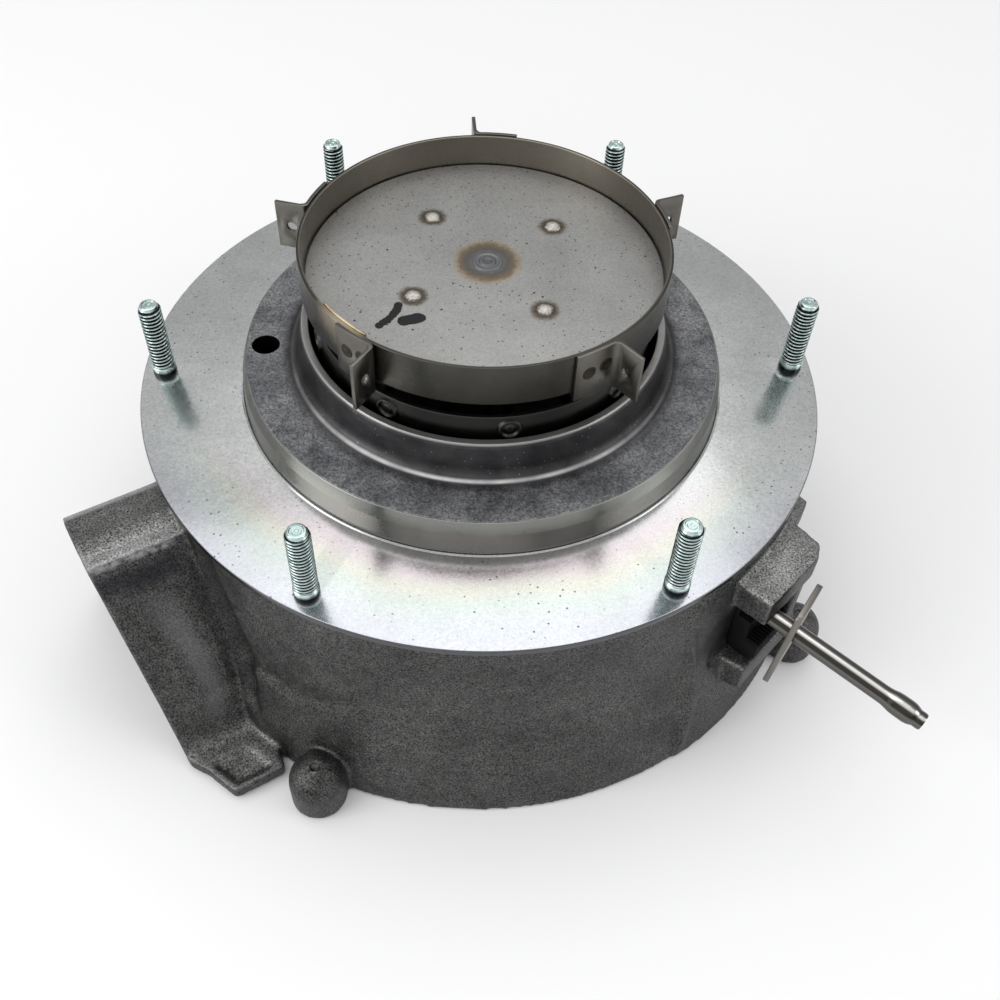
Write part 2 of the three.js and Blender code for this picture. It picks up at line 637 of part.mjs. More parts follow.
function statorCore() {
  const yoke = ring(YOKE_BORE_R, MOTOR_R - MOTOR_CAN_T - GAP, STATOR_BOTTOM_Z, STATOR_TOP_Z, 24);
  const teeth = Array.from({ length: TEETH }, (_, i) => turned(join(
    block([16, -TOOTH_HALF, STATOR_BOTTOM_Z], [24.5, TOOTH_HALF, STATOR_TOP_Z]),
    prism(sector(STATOR_BORE_R, 17, -24, 24, 4), STATOR_BOTTOM_Z, STATOR_TOP_Z),
  ), i * (360 / TEETH)));
  return join(yoke, ...teeth);
}

add('stator_core', statorCore(), ferrite);

const coil = cut(
  block([17.4, -4.6, STATOR_BOTTOM_Z - 2.2], [22.2, 4.6, STATOR_TOP_Z + 2.2]),
  block([16, -TOOTH_HALF - GAP, STATOR_BOTTOM_Z - GAP],
    [24, TOOTH_HALF + GAP, STATOR_TOP_Z + GAP]),
);
for (let i = 0; i < TEETH; i += 1) {
  add(`stator_coil_${i + 1}`, coil, copper, undefined, i * (360 / TEETH));
}

add('motor_board', cut(ring(13.2, BOARD_R, BOARD_Z, BOARD_Z + 1.2, 28),
  block([-4, BOARD_R - 4, BOARD_Z - 1], [4, BOARD_R + 4, BOARD_Z + 3])), boardGreen);

// ---- shaft, rotor and bearings ---------------------------------------------------------------

add('motor_shaft', revolve([
  [0, 6.4], [SHAFT_R - 0.4, 6.4], [SHAFT_R, 6.8], [SHAFT_R, BACKPLATE_Z + 1.4],
  [SHAFT_R - 0.5, BACKPLATE_Z + 1.4], [SHAFT_R - 0.5, SHAFT_TOP_Z], [0, SHAFT_TOP_Z],
], 16), bearingSteel);
add('rotor_core', ring(SHAFT_R + GAP, ROTOR_CORE_R, ROTOR_BOTTOM_Z, ROTOR_TOP_Z, 14), ferrite);
add('rotor_magnet', ring(ROTOR_CORE_R + GAP, MAGNET_R, ROTOR_BOTTOM_Z, ROTOR_TOP_Z, 18), ferrite);

// A sealed ball bearing: outer race, inner race, and the ball cage between them.
function bearing(name, bottom, height) {
  const top = bottom + height;
  add(`${name}_outer_race`, ring(RACE_BORE_R, RACE_R, bottom, top, 16), bearingSteel);
  add(`${name}_inner_race`, ring(SHAFT_R + GAP, INNER_RACE_R, bottom, top, 14), bearingSteel);
  const middle = bottom + height / 2;
  const balls = Array.from({ length: BALLS }, (_, i) =>
    moved(new THREE.IcosahedronGeometry(BALL_R), polar(BALL_CIRCLE_R, (i * 360) / BALLS, middle)));
  const cage = ring(BALL_CIRCLE_R - 0.5, BALL_CIRCLE_R + 0.5, middle - 0.5, middle + 0.5, 14);
  add(`${name}_ball_cage`, join(cage, ...balls), bearingSteel);
}

bearing('lower_bearing', BASE_Z + 2 + GAP, LOWER_BEARING_H);
bearing('upper_bearing', CAN_TOP_Z - CAN_FACE_T - GAP - UPPER_BEARING_H, UPPER_BEARING_H);

// ---- impeller --------------------------------------------------------------------------------

// A backward-curved blade, as a thin curved strip from the eye to the rim.
function blade() {
  const steps = 3;
  const line = (offset) => Array.from({ length: steps + 1 }, (_, i) => {
    const r = IMPELLER_EYE_R + 1 + ((IMPELLER_R - 1 - IMPELLER_EYE_R - 1) * i) / steps;
    const p = polar(r, offset - (BLADE_SWEEP * i) / steps);
    return [p.x, p.y];
  });
  return prism([...line(0), ...line(2).reverse()], SHROUD_Z + 0.5, BACKPLATE_Z + 0.5);
}

function impeller() {
  const backplate = revolve([
    [SHAFT_R + GAP, 43], [9, 43], [10, BACKPLATE_Z - 4], [16, BACKPLATE_Z],
    [IMPELLER_R, BACKPLATE_Z], [IMPELLER_R, BACKPLATE_Z + BACKPLATE_T],
    [SHAFT_R + GAP, BACKPLATE_Z + BACKPLATE_T],
  ], 28);
  const shroud = ring(IMPELLER_EYE_R, IMPELLER_R, SHROUD_Z, SHROUD_Z + 1.2, 32);
  const blades = Array.from({ length: BLADES }, (_, i) => turned(blade(), (i * 360) / BLADES));
  return join(backplate, shroud, ...blades);
}

add('impeller', impeller(), blackNylon);
add('impeller_nut', cut(disc(4.2, BACKPLATE_Z + BACKPLATE_T + GAP, SHAFT_TOP_Z - 0.3, 6),
  disc(SHAFT_R - 0.5 + GAP, 50, 62, 20)), zincStud);

export default fan;
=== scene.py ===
# Looks of the combustion-air fan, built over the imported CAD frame. Lengths are millimetres until
# a mesh is made, +Z up, origin on the shaft axis at the underside of the bottom cover.

import math

import bmesh
import bpy
import numpy as np
from mathutils import Matrix, Vector


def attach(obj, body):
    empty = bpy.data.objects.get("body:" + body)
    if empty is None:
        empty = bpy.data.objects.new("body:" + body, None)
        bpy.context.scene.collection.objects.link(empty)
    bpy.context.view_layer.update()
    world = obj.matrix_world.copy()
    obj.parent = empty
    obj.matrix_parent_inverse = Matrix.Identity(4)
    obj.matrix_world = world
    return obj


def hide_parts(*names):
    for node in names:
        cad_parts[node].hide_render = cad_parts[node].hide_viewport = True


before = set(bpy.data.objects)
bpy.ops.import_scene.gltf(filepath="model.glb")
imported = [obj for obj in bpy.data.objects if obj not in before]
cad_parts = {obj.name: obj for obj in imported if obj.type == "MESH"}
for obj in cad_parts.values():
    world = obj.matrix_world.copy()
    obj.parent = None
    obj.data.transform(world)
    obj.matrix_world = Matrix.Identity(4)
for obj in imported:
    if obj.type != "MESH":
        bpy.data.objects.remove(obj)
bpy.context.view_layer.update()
scene = bpy.context.scene
MM = 0.001

# ---- driving dimensions, as in the part --------------------------------------------------------

GAP = 0.3
WALL = 3.5
BASE_R = 102
WAIST_R = 95
WAIST_Z = 37
DECK_R = 93.8
DECK_Z = 67.7
DECK_T = 4
STEP_FOOT_R = 66.9
STEP_EDGE_R = 66.4
STEP_EDGE_Z = 76.7
STEP_R = 65.3
STEP_Z = 80.3
COLLAR_FOOT_R = 51.6
COLLAR_R = 49.6
COLLAR_BORE_R = 47.2
COLLAR_Z = 90.6
COVER_R = 98.2
COVER_T = 3.5
GASKET_T = 0.7
LEDGE_Z = COVER_T + GASKET_T + 2 * GAP
COVER_SCREW_R = 88
COVER_SCREW_AZ = (20, 110, 200, 290)
FLANGE_R = 95
FLANGE_BORE_R = 66.95
FLANGE_Z = 70
STUD_CIRCLE_R = 89.2
STUD_R = 3
STUD_COLLAR_R = 3.25
STUD_TOP_Z = 93.6
STUD_AZ = (5, 65, 125, 185, 245, 305)
HORN_AZ = -146
HORN_OFFSET = -4.5
HORN_FACE = 117
HORN_TILT = 4.4
HORN_TOP_Z = 65
HORN_TOP_HALF = 5.5
HORN_SHOULDER_HALF = 13.2
HORN_SHOULDER_Z = 61.5
HORN_FAR_TOP_HALF = 3.5
HORN_FAR_SHOULDER_HALF = 8.5
HORN_FOOT_HALF = 35.5
BOSS_AZ = (-111, -23, 67, 157)
BOSS_CIRCLE_R = 106.4
BOSS_R = 7.7
PORT_AZ = -40
SHELF_Z = 62
SHELF_UNDER_Z = 53
SILL_Z = 30
PORT_NEAR = -2.5
PORT_FAR = 12
SENSOR_HOLE_R = 3.7
SENSOR_HOLE_AT = (-59.5, -6.2)
PIPE_R = 2.5
PIPE_BORE_R = 1.8
HOSE_BEAD_R = 3.05
PIPE_AZ = -36
PIPE_SLOPE = -6.5
PIPE_PLATE_POINT = (86.5, -71.7, 49)
PIPE_STICKOUT = 36
PIPE_PLATE_SHIFT = -2
PIPE_PLATE_PITCH = -4
PIPE_PLATE_YAW = -3
SLEEVE_R = 45.2
SLEEVE_TOP_Z = 96
SLEEVE_FOOT_Z = 75
RING_R = 48
RING_BOTTOM_Z = 103.1
RING_TOP_Z = 114.7
DISC_R = 46.7
DISC_Z = 105
BRACKET_AZ = (25, 97, 169, 241, 313)
PARTITION_Z = 36
PARTITION_T = 1.5
PARTITION_SCREW_R = 86
PARTITION_SCREW_AZ = (80, 170, 260, 350)
SLEEVE_SCREW_R = 55.5
SLEEVE_SCREW_AZ = (30, 150, 270)
MOTOR_SCREW_R = 34
MOTOR_SCREW_AZ = (90, 210, 330)
IMPELLER_R = 76
IMPELLER_EYE_R = 41
BLADES = 12
BACKPLATE_Z = 53.5
SHROUD_Z = 42
SHAFT_R = 3
SHAFT_TOP_Z = 57.6

# ---- mesh helpers ------------------------------------------------------------------------------


def polar(r, az, z=0.0):
    a = math.radians(az)
    return np.array([r * math.cos(a), r * math.sin(a), z])


def make(name, verts, faces, crease=35):
    """A mesh object from millimetre vertices, smooth except where it turns by more than crease."""
    mesh = bpy.data.meshes.new(name)
    mesh.from_pydata((np.asarray(verts, float) * MM).tolist(), [], faces)
    bm = bmesh.new()
    bm.from_mesh(mesh)
    bmesh.ops.remove_doubles(bm, verts=bm.verts, dist=1e-7)
    bmesh.ops.recalc_face_normals(bm, faces=bm.faces)
    bm.to_mesh(mesh)
    bm.free()
    piece = bpy.data.objects.new(name, mesh)
    scene.collection.objects.link(piece)
    shade(piece, crease)
    return piece


def shade(piece, crease=35):
    mesh = piece.data
    mesh.polygons.foreach_set("use_smooth", [True] * len(mesh.polygons))
    mesh.set_sharp_from_angle(angle=math.radians(crease))
    mesh.update()


def bake(piece):
    """Applies the modifiers."""
    graph = bpy.context.evaluated_depsgraph_get()
    mesh = bpy.data.meshes.new_from_object(piece.evaluated_get(graph))
    piece.modifiers.clear()
    piece.data = mesh
    return piece


def move(piece, to=(0, 0, 0), az=0):
    piece.data.transform(
        Matrix.Translation(Vector(to) * MM) @ Matrix.Rotation(math.radians(az), 4, "Z"))
    return piece


def copy(piece, name):
    double = piece.copy()
    double.data = piece.data.copy()
    double.name = name
    scene.collection.objects.link(double)
    return double


def combine(piece, tools, operation):
    for tool in tools:
        modifier = piece.modifiers.new("cut", "BOOLEAN")
        modifier.object = tool
        modifier.operation = operation
        modifier.solver = "MANIFOLD"
    bake(piece)
    for tool in tools:
        bpy.data.objects.remove(tool)
    return piece


def carve(piece, *tools):
    return combine(piece, tools, "DIFFERENCE")


def weld(piece, *tools):
    return combine(piece, tools, "UNION")


def bevel(piece, width, segments=2, angle=30):
    modifier = piece.modifiers.new("bevel", "BEVEL")
    modifier.width = width * MM
    modifier.segments = segments
    modifier.limit_method = "ANGLE"
    modifier.angle_limit = math.radians(angle)
    modifier.harden_normals = False
    bake(piece)
    shade(piece)
    return piece


def rounded(corners, steps=5):
    """A closed outline from (x, y, radius) corners, each turned with its radius."""
    outline = []
    count = len(corners)
    for i, (x, y, r) in enumerate(corners):
        corner = np.array([x, y], float)
        if r <= 0:
            outline.append(corner)
            continue
        before = np.array(corners[i - 1][:2]) - corner
        after = np.array(corners[(i + 1) % count][:2]) - corner
        before_length, after_length = np.linalg.norm(before), np.linalg.norm(after)
        before, after = before / before_length, after / after_length
        half = math.acos(np.clip(before @ after, -1, 1)) / 2
        reach = min(r / math.tan(half), 0.49 * before_length, 0.49 * after_length)
        start, end = corner + before * reach, corner + after * reach
        for k in range(steps + 1):
            t = k / steps
            outline.append((1 - t) ** 2 * start + 2 * t * (1 - t) * corner + t * t * end)
    return outline


def lathe(name, corners, segments=128, steps=4, crease=35):
    """A turned piece from (r, z, fillet) corners round a closed section."""
    section = rounded([c if len(c) == 3 else (*c, 0) for c in corners], steps)
    verts, rows = [], []
    for r, z in section:
        if r < 1e-6:
            rows.append([len(verts)] * segments)
            verts.append((0, 0, z))
            continue
        rows.append(list(range(len(verts), len(verts) + segments)))
        for k in range(segments):
            verts.append(polar(r, 360 * k / segments, z))
    faces = []
    for i in range(len(rows)):
        low, high = rows[i], rows[(i + 1) % len(rows)]
        if low[0] == low[-1] and high[0] == high[-1]:
            continue
        for k in range(segments):
            n = (k + 1) % segments
            face = []
            for v in (low[k], low[n], high[n], high[k]):
                if v not in face:
                    face.append(v)
            faces.append(face)
    return make(name, verts, faces, crease)


def slab(name, outline, bottom, top, edge=0.0, segments=2):
    """A plate from an outline of points, with its edges rounded off."""
    count = len(outline)
    verts = [(*p[:2], bottom) for p in outline] + [(*p[:2], top) for p in outline]
    faces = [list(range(count))[::-1], list(range(count, 2 * count))]
    faces += [[i, (i + 1) % count, count + (i + 1) % count, count + i] for i in range(count)]
    piece = make(name, verts, faces)
    return bevel(piece, edge, segments) if edge else piece


def rod(name, r, bottom, top, segments=48, edge=0.0):
    return lathe(name, [(0, bottom), (r, bottom, edge), (r, top, edge), (0, top)], segments)


def box(name, low, high, edge=0.0, segments=2):
    outline = [(low[0], low[1]), (high[0], low[1]), (high[0], high[1]), (low[0], high[1])]
    return slab(name, outline, low[2], high[2], edge, segments)


def sector(inner, outer, start, end, steps=24):
    angles = np.linspace(start, end, steps + 1)
    return [polar(outer, a)[:2] for a in angles] + [polar(inner, a)[:2] for a in angles[::-1]]


def tube(name, path, section, closed_ends=True, crease=40):
    """Sweeps rings along a path: section(i) gives the radii (outer) at each point."""
    verts, faces = [], []
    segments = 40
    path = np.asarray(path, float)
    tangents = np.gradient(path, axis=0)
    tangents /= np.linalg.norm(tangents, axis=1)[:, None]
    side = np.cross(tangents[0], (0, 0, 1.0))
    side /= np.linalg.norm(side)
    for i, (p, t) in enumerate(zip(path, tangents)):
        side = side - t * (side @ t)
        side /= np.linalg.norm(side)
        up = np.cross(t, side)
        for k in range(segments):
            a = 2 * math.pi * k / segments
            verts.append(p + section(i) * (math.cos(a) * side + math.sin(a) * up))
    rings = len(path)
    for i in range(rings - 1):
        for k in range(segments):
            n = (k + 1) % segments
            faces.append([i * segments + k, i * segments + n,
                          (i + 1) * segments + n, (i + 1) * segments + k])
    if closed_ends:
        faces.append(list(range(segments))[::-1])
        faces.append(list(range((rings - 1) * segments, rings * segments)))
    return make(name, verts, faces, crease)


# ---- material helpers --------------------------------------------------------------------------


class Nodes:
    """Builds one node material with a few short calls."""

    def __init__(self, name, **sockets):
        self.material = bpy.data.materials.new(name)
        self.material.use_nodes = True
        self.tree = self.material.node_tree
        self.shader = self.tree.nodes["Principled BSDF"]
        self.coordinates = self.tree.nodes.new("ShaderNodeTexCoord").outputs["Object"]
        for socket, value in sockets.items():
            self.shader.inputs[socket.replace("_", " ")].default_value = value

    def add(self, kind, **values):
        node = self.tree.nodes.new("ShaderNode" + kind)
        for key, value in values.items():
            setattr(node, key, value)
        return node

    def link(self, source, target):
        if isinstance(source, (int, float)):
            target.default_value = source
        elif isinstance(source, tuple):
            target.default_value = source if len(source) != 3 or len(target.default_value) == 3 else (*source, 1)
        else:
            self.tree.links.new(source, target)

    def scaled(self, x, y, z, source=None):
        node = self.add("Mapping")
        self.link(source or self.coordinates, node.inputs["Vector"])
        node.inputs["Scale"].default_value = (x, y, z)
        return node.outputs["Vector"]

    def noise(self, size, detail=4, rough=0.55, where=None, distortion=0.0):
        """Noise whose features are about size millimetres across."""
        node = self.add("TexNoise")
        self.link(where or self.coordinates, node.inputs["Vector"])
        node.inputs["Scale"].default_value = 1 / (size * MM)
        node.inputs["Detail"].default_value = detail
        node.inputs["Roughness"].default_value = rough
        node.inputs["Distortion"].default_value = distortion
        return node.outputs["Fac"]

    def cells(self, size, feature="F1", where=None, randomness=1.0):
        node = self.add("TexVoronoi", feature=feature)
        self.link(where or self.coordinates, node.inputs["Vector"])
        node.inputs["Scale"].default_value = 1 / (size * MM)
        node.inputs["Randomness"].default_value = randomness
        return node.outputs["Distance"]

    def remap(self, source, low, high, to_low=0.0, to_high=1.0, smooth=False):
        node = self.add("MapRange")
        if smooth:
            node.interpolation_type = "SMOOTHSTEP"
        node.clamp = True
        self.link(source, node.inputs["Value"])
        for socket, value in zip(("From Min", "From Max", "To Min", "To Max"),
                                 (low, high, to_low, to_high)):
            node.inputs[socket].default_value = value
        return node.outputs["Result"]

    def math(self, operation, a, b=0.0, c=0.0):
        node = self.add("Math", operation=operation)
        for socket, value in zip(node.inputs, (a, b, c)):
            self.link(value, socket)
        return node.outputs["Value"]

    def mix(self, factor, a, b, blend="MIX"):
        node = self.add("Mix", data_type="RGBA", blend_type=blend)
        self.link(factor, node.inputs["Factor"])
        self.link(a, node.inputs["A"] if False else node.inputs[6])
        self.link(b, node.inputs[7])
        return node.outputs[2]

    def ramp(self, source, *stops):
        node = self.add("ValToRGB")
        self.link(source, node.inputs["Fac"])
        elements = node.color_ramp.elements
        while len(elements) < len(stops):
            elements.new(0.5)
        for element, (position, color) in zip(elements, stops):
            element.position = position
            element.color = (*color, 1)
        return node.outputs["Color"]

    def xyz(self, source=None):
        node = self.add("SeparateXYZ")
        self.link(source or self.coordinates, node.inputs[0])
        return node.outputs["X"], node.outputs["Y"], node.outputs["Z"]

    def distance(self, x, y, z=None):
        """Distance in millimetres from a point, or from a vertical line if z is None."""
        px, py, pz = self.xyz()
        node = self.add("CombineXYZ")
        self.link(px, node.inputs[0])
        self.link(py, node.inputs[1])
        self.link(pz if z is not None else 0.0, node.inputs[2])
        away = self.add("VectorMath", operation="DISTANCE")
        self.link(node.outputs[0], away.inputs[0])
        away.inputs[1].default_value = (x * MM, y * MM, (z or 0) * MM)
        return self.math("MULTIPLY", away.outputs["Value"], 1000)

    def round_about(self, radial=1.0, along=1.0):
        """Coordinates that run round the Z axis, so grain follows the turning direction."""
        x, y, z = self.xyz()
        angle = self.math("ARCTAN2", y, x)
        r = self.math("SQRT", self.math("ADD", self.math("MULTIPLY", x, x),
                                        self.math("MULTIPLY", y, y)))
        node = self.add("CombineXYZ")
        self.link(self.math("MULTIPLY", angle, 0.09), node.inputs[0])
        self.link(self.math("MULTIPLY", r, radial), node.inputs[1])
        self.link(self.math("MULTIPLY", z, along), node.inputs[2])
        return node.outputs[0]

    def bump(self, *layers):
        """Stacks (height, strength, millimetres) layers of bump."""
        normal = None
        for height, strength, depth in layers:
            node = self.add("Bump")
            node.inputs["Strength"].default_value = strength
            node.inputs["Distance"].default_value = depth * MM
            self.link(height, node.inputs["Height"])
            if normal is not None:
                self.link(normal, node.inputs["Normal"])
            normal = node.outputs["Normal"]
        self.link(normal, self.shader.inputs["Normal"])

    def set(self, socket, source):
        self.link(source, self.shader.inputs[socket])


# Centre of the painted shade in the port's recess.
RECESS_SHADE_AT = tuple(np.array(polar(95.2, PORT_AZ)) + np.array(polar(7, PORT_AZ - 90)) + (0, 0, 42))


def cast_metal(name, dark, light, roughness=(0.4, 0.58), painted_top_light=2.7):
    """Die-cast aluminium: mottled and grainy, with brighter rubbed edges. Painted light: top faces painted
    brighter, with painted glints; a painted highlight band and a painted shade band along the horn; a painted
    shadow and a painted highlight along the horn's root; painted shade in creases and in the port recess.
    """
    m = Nodes(name, Metallic=0.9)
    cloud = m.noise(22, 5, 0.6)
    stain = m.noise(5, 6, 0.65, distortion=0.6)
    grain = m.noise(0.5, 3, 0.75)
    pits = m.cells(0.95)
    tone = m.math("ADD", m.math("MULTIPLY", cloud, 0.45), m.math("MULTIPLY", stain, 0.55))
    base = m.mix(m.remap(tone, 0.35, 0.66), (*dark, 1), (*light, 1))
    base = m.mix(1.0, base, m.remap(grain, 0.36, 0.64, 0.1, 2.15), "MULTIPLY")
    base = m.mix(m.remap(pits, 0.08, 0.24, 0.7, 0.0), base, (0.008, 0.008, 0.008, 1))
    vein = m.math("ABSOLUTE", m.math("SUBTRACT", m.noise(6, 5, 0.6, distortion=0.8), 0.5))
    vein = m.math("MULTIPLY", m.remap(vein, 0.0, 0.012, 0.55, 0.0), m.remap(cloud, 0.45, 0.55))
    base = m.mix(vein, base, (0.012, 0.012, 0.012, 1))
    geometry = m.add("NewGeometry")
    upward = m.xyz(geometry.outputs["Normal"])[2]
    height = m.math("MULTIPLY", m.xyz()[2], 1000)
    # Painted light: faces turned up are painted lighter, less so on the horn's top and low down; the same mask
    # also lowers the roughness.
    top = m.math("MULTIPLY", m.remap(upward, 0.6, 0.93, smooth=True),
                 m.remap(height, 63.6, 65.0, 1.0, 0.3))
    low = m.math("MAXIMUM", m.remap(height, 18, 30, 0.12, 1.0), m.remap(height, 7, 9, 0.4, 0.0))
    top = m.math("MULTIPLY", top, low)
    lift = m.math("ADD", 1.0, m.math("MULTIPLY", top, painted_top_light - 1.0))
    base = m.mix(1.0, base, lift, "MULTIPLY")
    # Painted glints on the up-turned faces.
    painted_glint = m.math("MULTIPLY", m.remap(m.noise(0.75, 3, 0.8), 0.56, 0.66), top)
    base = m.mix(m.math("MULTIPLY", painted_glint, 0.75), base, (0.5, 0.5, 0.49, 1))
    rubbed = m.remap(geometry.outputs["Pointiness"], 0.51, 0.56, smooth=True)
    rubbed = m.math("MULTIPLY", rubbed, m.remap(m.noise(3.5, 4, 0.7), 0.35, 0.6))
    base = m.mix(m.math("MULTIPLY", rubbed, 0.6), base, (0.24, 0.24, 0.24, 1))
    x, y, z = m.xyz()
    horn = m.math("MULTIPLY", m.remap(m.distance(0, 0), 96.5, 99), m.remap(x, -0.02, -0.04))
    # Painted highlight: a lighter band at height 62.3 across the horn's upper chamfer.
    band = m.remap(m.math("ABSOLUTE", m.math("SUBTRACT", height, 62.3)), 0.3, 1.7, 1.0, 0.0,
                   smooth=True)
    band = m.math("MULTIPLY", m.math("MULTIPLY", band, horn), m.remap(m.noise(2.2, 4, 0.7), 0.36, 0.58))
    base = m.mix(m.math("MULTIPLY", band, 0.75), base, (0.4, 0.4, 0.41, 1))
    # Painted shade: a darker band at height 56.6 on the horn's front wall below its rounded edge.
    shade = m.remap(m.math("ABSOLUTE", m.math("SUBTRACT", height, 56.6)), 1.0, 4.2, 0.6, 0.0,
                    smooth=True)
    base = m.mix(m.math("MULTIPLY", shade, horn), base, (0.018, 0.018, 0.025, 1))
    # Painted shadow: a dark band on the round wall just past the horn's root, fading out low down.
    root = m.math("SUBTRACT", m.math("MULTIPLY", m.math("ARCTAN2", y, x), 180 / math.pi),
                  m.math("SUBTRACT", -127.2, m.math("MULTIPLY", height, 0.2225)))
    shadow = m.math("MULTIPLY", m.remap(root, 0.5, 1.4), m.remap(root, 3.5, 9.5, 0.55, 0.0))
    shadow = m.math("MULTIPLY", shadow, m.remap(height, 8, 22))
    base = m.mix(shadow, base, (0.014, 0.014, 0.014, 1))
    # Painted highlight: a lighter line along the crest of the horn's rounded edge.
    crest = m.remap(m.math("ABSOLUTE", m.math("ADD", root, 0.3)), 0.15, 0.85, 0.4, 0.0,
                    smooth=True)
    crest = m.math("MULTIPLY", crest, m.remap(height, 54, 40))
    base = m.mix(m.math("MULTIPLY", crest, m.remap(height, 6, 14)), base, (0.2, 0.2, 0.2, 1))
    # Painted shade: darker in concave creases (low pointiness) and inside the port recess.
    crease = m.remap(geometry.outputs["Pointiness"], 0.41, 0.478, 0.7, 0.0)
    recess = m.remap(m.distance(*RECESS_SHADE_AT), 5.5, 11, 0.8, 0.0, smooth=True)
    base = m.mix(m.math("MAXIMUM", crease, recess), base, (0.01, 0.01, 0.01, 1))
    m.set("Base Color", base)
    rough = m.remap(stain, 0.3, 0.7, roughness[0], roughness[1])
    m.set("Roughness", m.math("SUBTRACT", rough, m.math("MULTIPLY", top, 0.1)))
    m.bump((m.noise(9, 3, 0.5), 0.25, 0.6), (grain, 0.75, 0.14), (pits, 0.35, 0.05))
    return m.material


def sheet_steel(name, color, roughness=0.3, streaks=0.5, tint=None, along=30.0, specks=0.25):
    """Rolled or drawn sheet with fine streaks round the part."""
    m = Nodes(name, Metallic=1.0)
    grain = m.noise(0.5, 5, 0.7, where=m.scaled(1, 60, along, m.round_about()))
    cloud = m.noise(7, 4, 0.6)
    base = m.mix(m.remap(grain, 0.35, 0.7), tuple(c * 0.72 for c in color) + (1,),
                 tuple(min(1, c * 1.22) for c in color) + (1,))
    base = m.mix(m.remap(cloud, 0.35, 0.7, 0, 0.45), base,
                 tuple(c * k for c, k in zip(color, (0.78, 0.74, 0.68))) + (1,))
    dots = m.remap(m.cells(1.6), 0.05, 0.12, specks, 0.0)
    base = m.mix(dots, base, (0.03, 0.03, 0.03, 1))
    if tint:
        base = tint(m, base)
    m.set("Base Color", base)
    m.set("Roughness", m.math("ADD", m.remap(cloud, 0.3, 0.7, roughness - 0.06, roughness + 0.1),
                              m.math("MULTIPLY", m.math("SUBTRACT", grain, 0.5), streaks * 0.4)))
    m.bump((grain, 0.12 * streaks, 0.05), (cloud, 0.12, 0.25))
    return m.material


# ---- materials ---------------------------------------------------------------------------------

cast = cast_metal("cast_aluminium", (0.036, 0.036, 0.035), (0.102, 0.102, 0.099))


def turned_metal(name, color, roughness=0.25):
    """A machined surface with turning marks and small stains."""
    m = Nodes(name, Metallic=1.0)
    marks = m.noise(0.35, 4, 0.7, where=m.scaled(0.6, 12, 12, m.round_about()))
    cloud = m.noise(14, 5, 0.6)
    base = m.mix(m.remap(cloud, 0.3, 0.7), tuple(c * 0.8 for c in color) + (1,),
                 tuple(min(1, c * 1.15) for c in color) + (1,))
    base = m.mix(m.remap(marks, 0.3, 0.7, 0, 0.35), base, tuple(c * 0.6 for c in color) + (1,))
    m.set("Base Color", base)
    m.set("Roughness", m.remap(cloud, 0.3, 0.7, roughness - 0.05, roughness + 0.12))
    m.bump((marks, 0.2, 0.03), (cloud, 0.15, 0.3))
    return m.material


def zinc_plate():
    """Bright zinc with fine specks, a faint rolling grain and pale passivation colours."""
    m = Nodes("zinc_plate", Metallic=1.0)
    cloud = m.noise(30, 5, 0.55)
    fine = m.noise(0.8, 4, 0.7)
    specks = m.remap(m.cells(2.3), 0.09, 0.14, 0.85, 0.0)
    specks = m.math("MULTIPLY", specks, m.remap(m.noise(24, 3, 0.6), 0.42, 0.58))
    dust = m.remap(m.cells(0.9), 0.12, 0.28, 0.5, 0.0)
    base = m.mix(m.remap(cloud, 0.3, 0.7), (0.68, 0.7, 0.69, 1), (0.82, 0.84, 0.83, 1))
    base = m.mix(1.0, base, m.remap(fine, 0.3, 0.7, 0.86, 1.1), "MULTIPLY")
    x, y, z = m.xyz()
    front = m.remap(y, -0.02, -0.065, smooth=True)
    swirl = m.math("ADD", m.distance(0, 0), m.math("MULTIPLY", m.noise(26, 3, 0.5), 9))
    tints = m.ramp(m.remap(swirl, 70, 102), (0.0, (0.61, 0.61, 0.62)), (0.22, (0.7, 0.62, 0.65)),
                   (0.4, (0.71, 0.69, 0.62)), (0.55, (0.64, 0.69, 0.66)), (0.75, (0.66, 0.67, 0.7)),
                   (0.92, (0.65, 0.64, 0.7)), (1.0, (0.7, 0.7, 0.72)))
    base = m.mix(front, base, m.mix(1.0, base, tints, "MULTIPLY"))
    turn = m.add("Mapping")
    m.link(m.coordinates, turn.inputs["Vector"])
    turn.inputs["Rotation"].default_value = (0, 0, math.radians(-38))
    turn.inputs["Scale"].default_value = (7, 0.5, 1)
    scratch = m.math("ABSOLUTE", m.math("SUBTRACT", m.noise(9, 2, 0.4,
                                                            where=turn.outputs["Vector"]), 0.6))
    scratch = m.math("MULTIPLY", m.remap(scratch, 0.0, 0.005, 0.5, 0.0),
                     m.remap(m.noise(26, 2, 0.5), 0.48, 0.58))
    base = m.mix(scratch, base, (0.25, 0.26, 0.26, 1))
    base = m.mix(specks, base, (0.04, 0.04, 0.04, 1))
    base = m.mix(dust, base, (0.34, 0.35, 0.35, 1))
    outer = m.remap(m.distance(0, 0), FLANGE_R - 0.3, FLANGE_R - 0.05, 0.0, 0.85)
    base = m.mix(outer, base, (0.03, 0.03, 0.03, 1))
    m.set("Base Color", base)
    m.set("Roughness", m.math("ADD", m.remap(cloud, 0.3, 0.7, 0.13, 0.2),
                              m.remap(fine, 0.3, 0.8, 0, 0.06)))
    m.bump((m.noise(38, 2, 0.4), 0.2, 1.2), (fine, 0.18, 0.04), (m.cells(0.9), 0.08, 0.03))
    return m.material


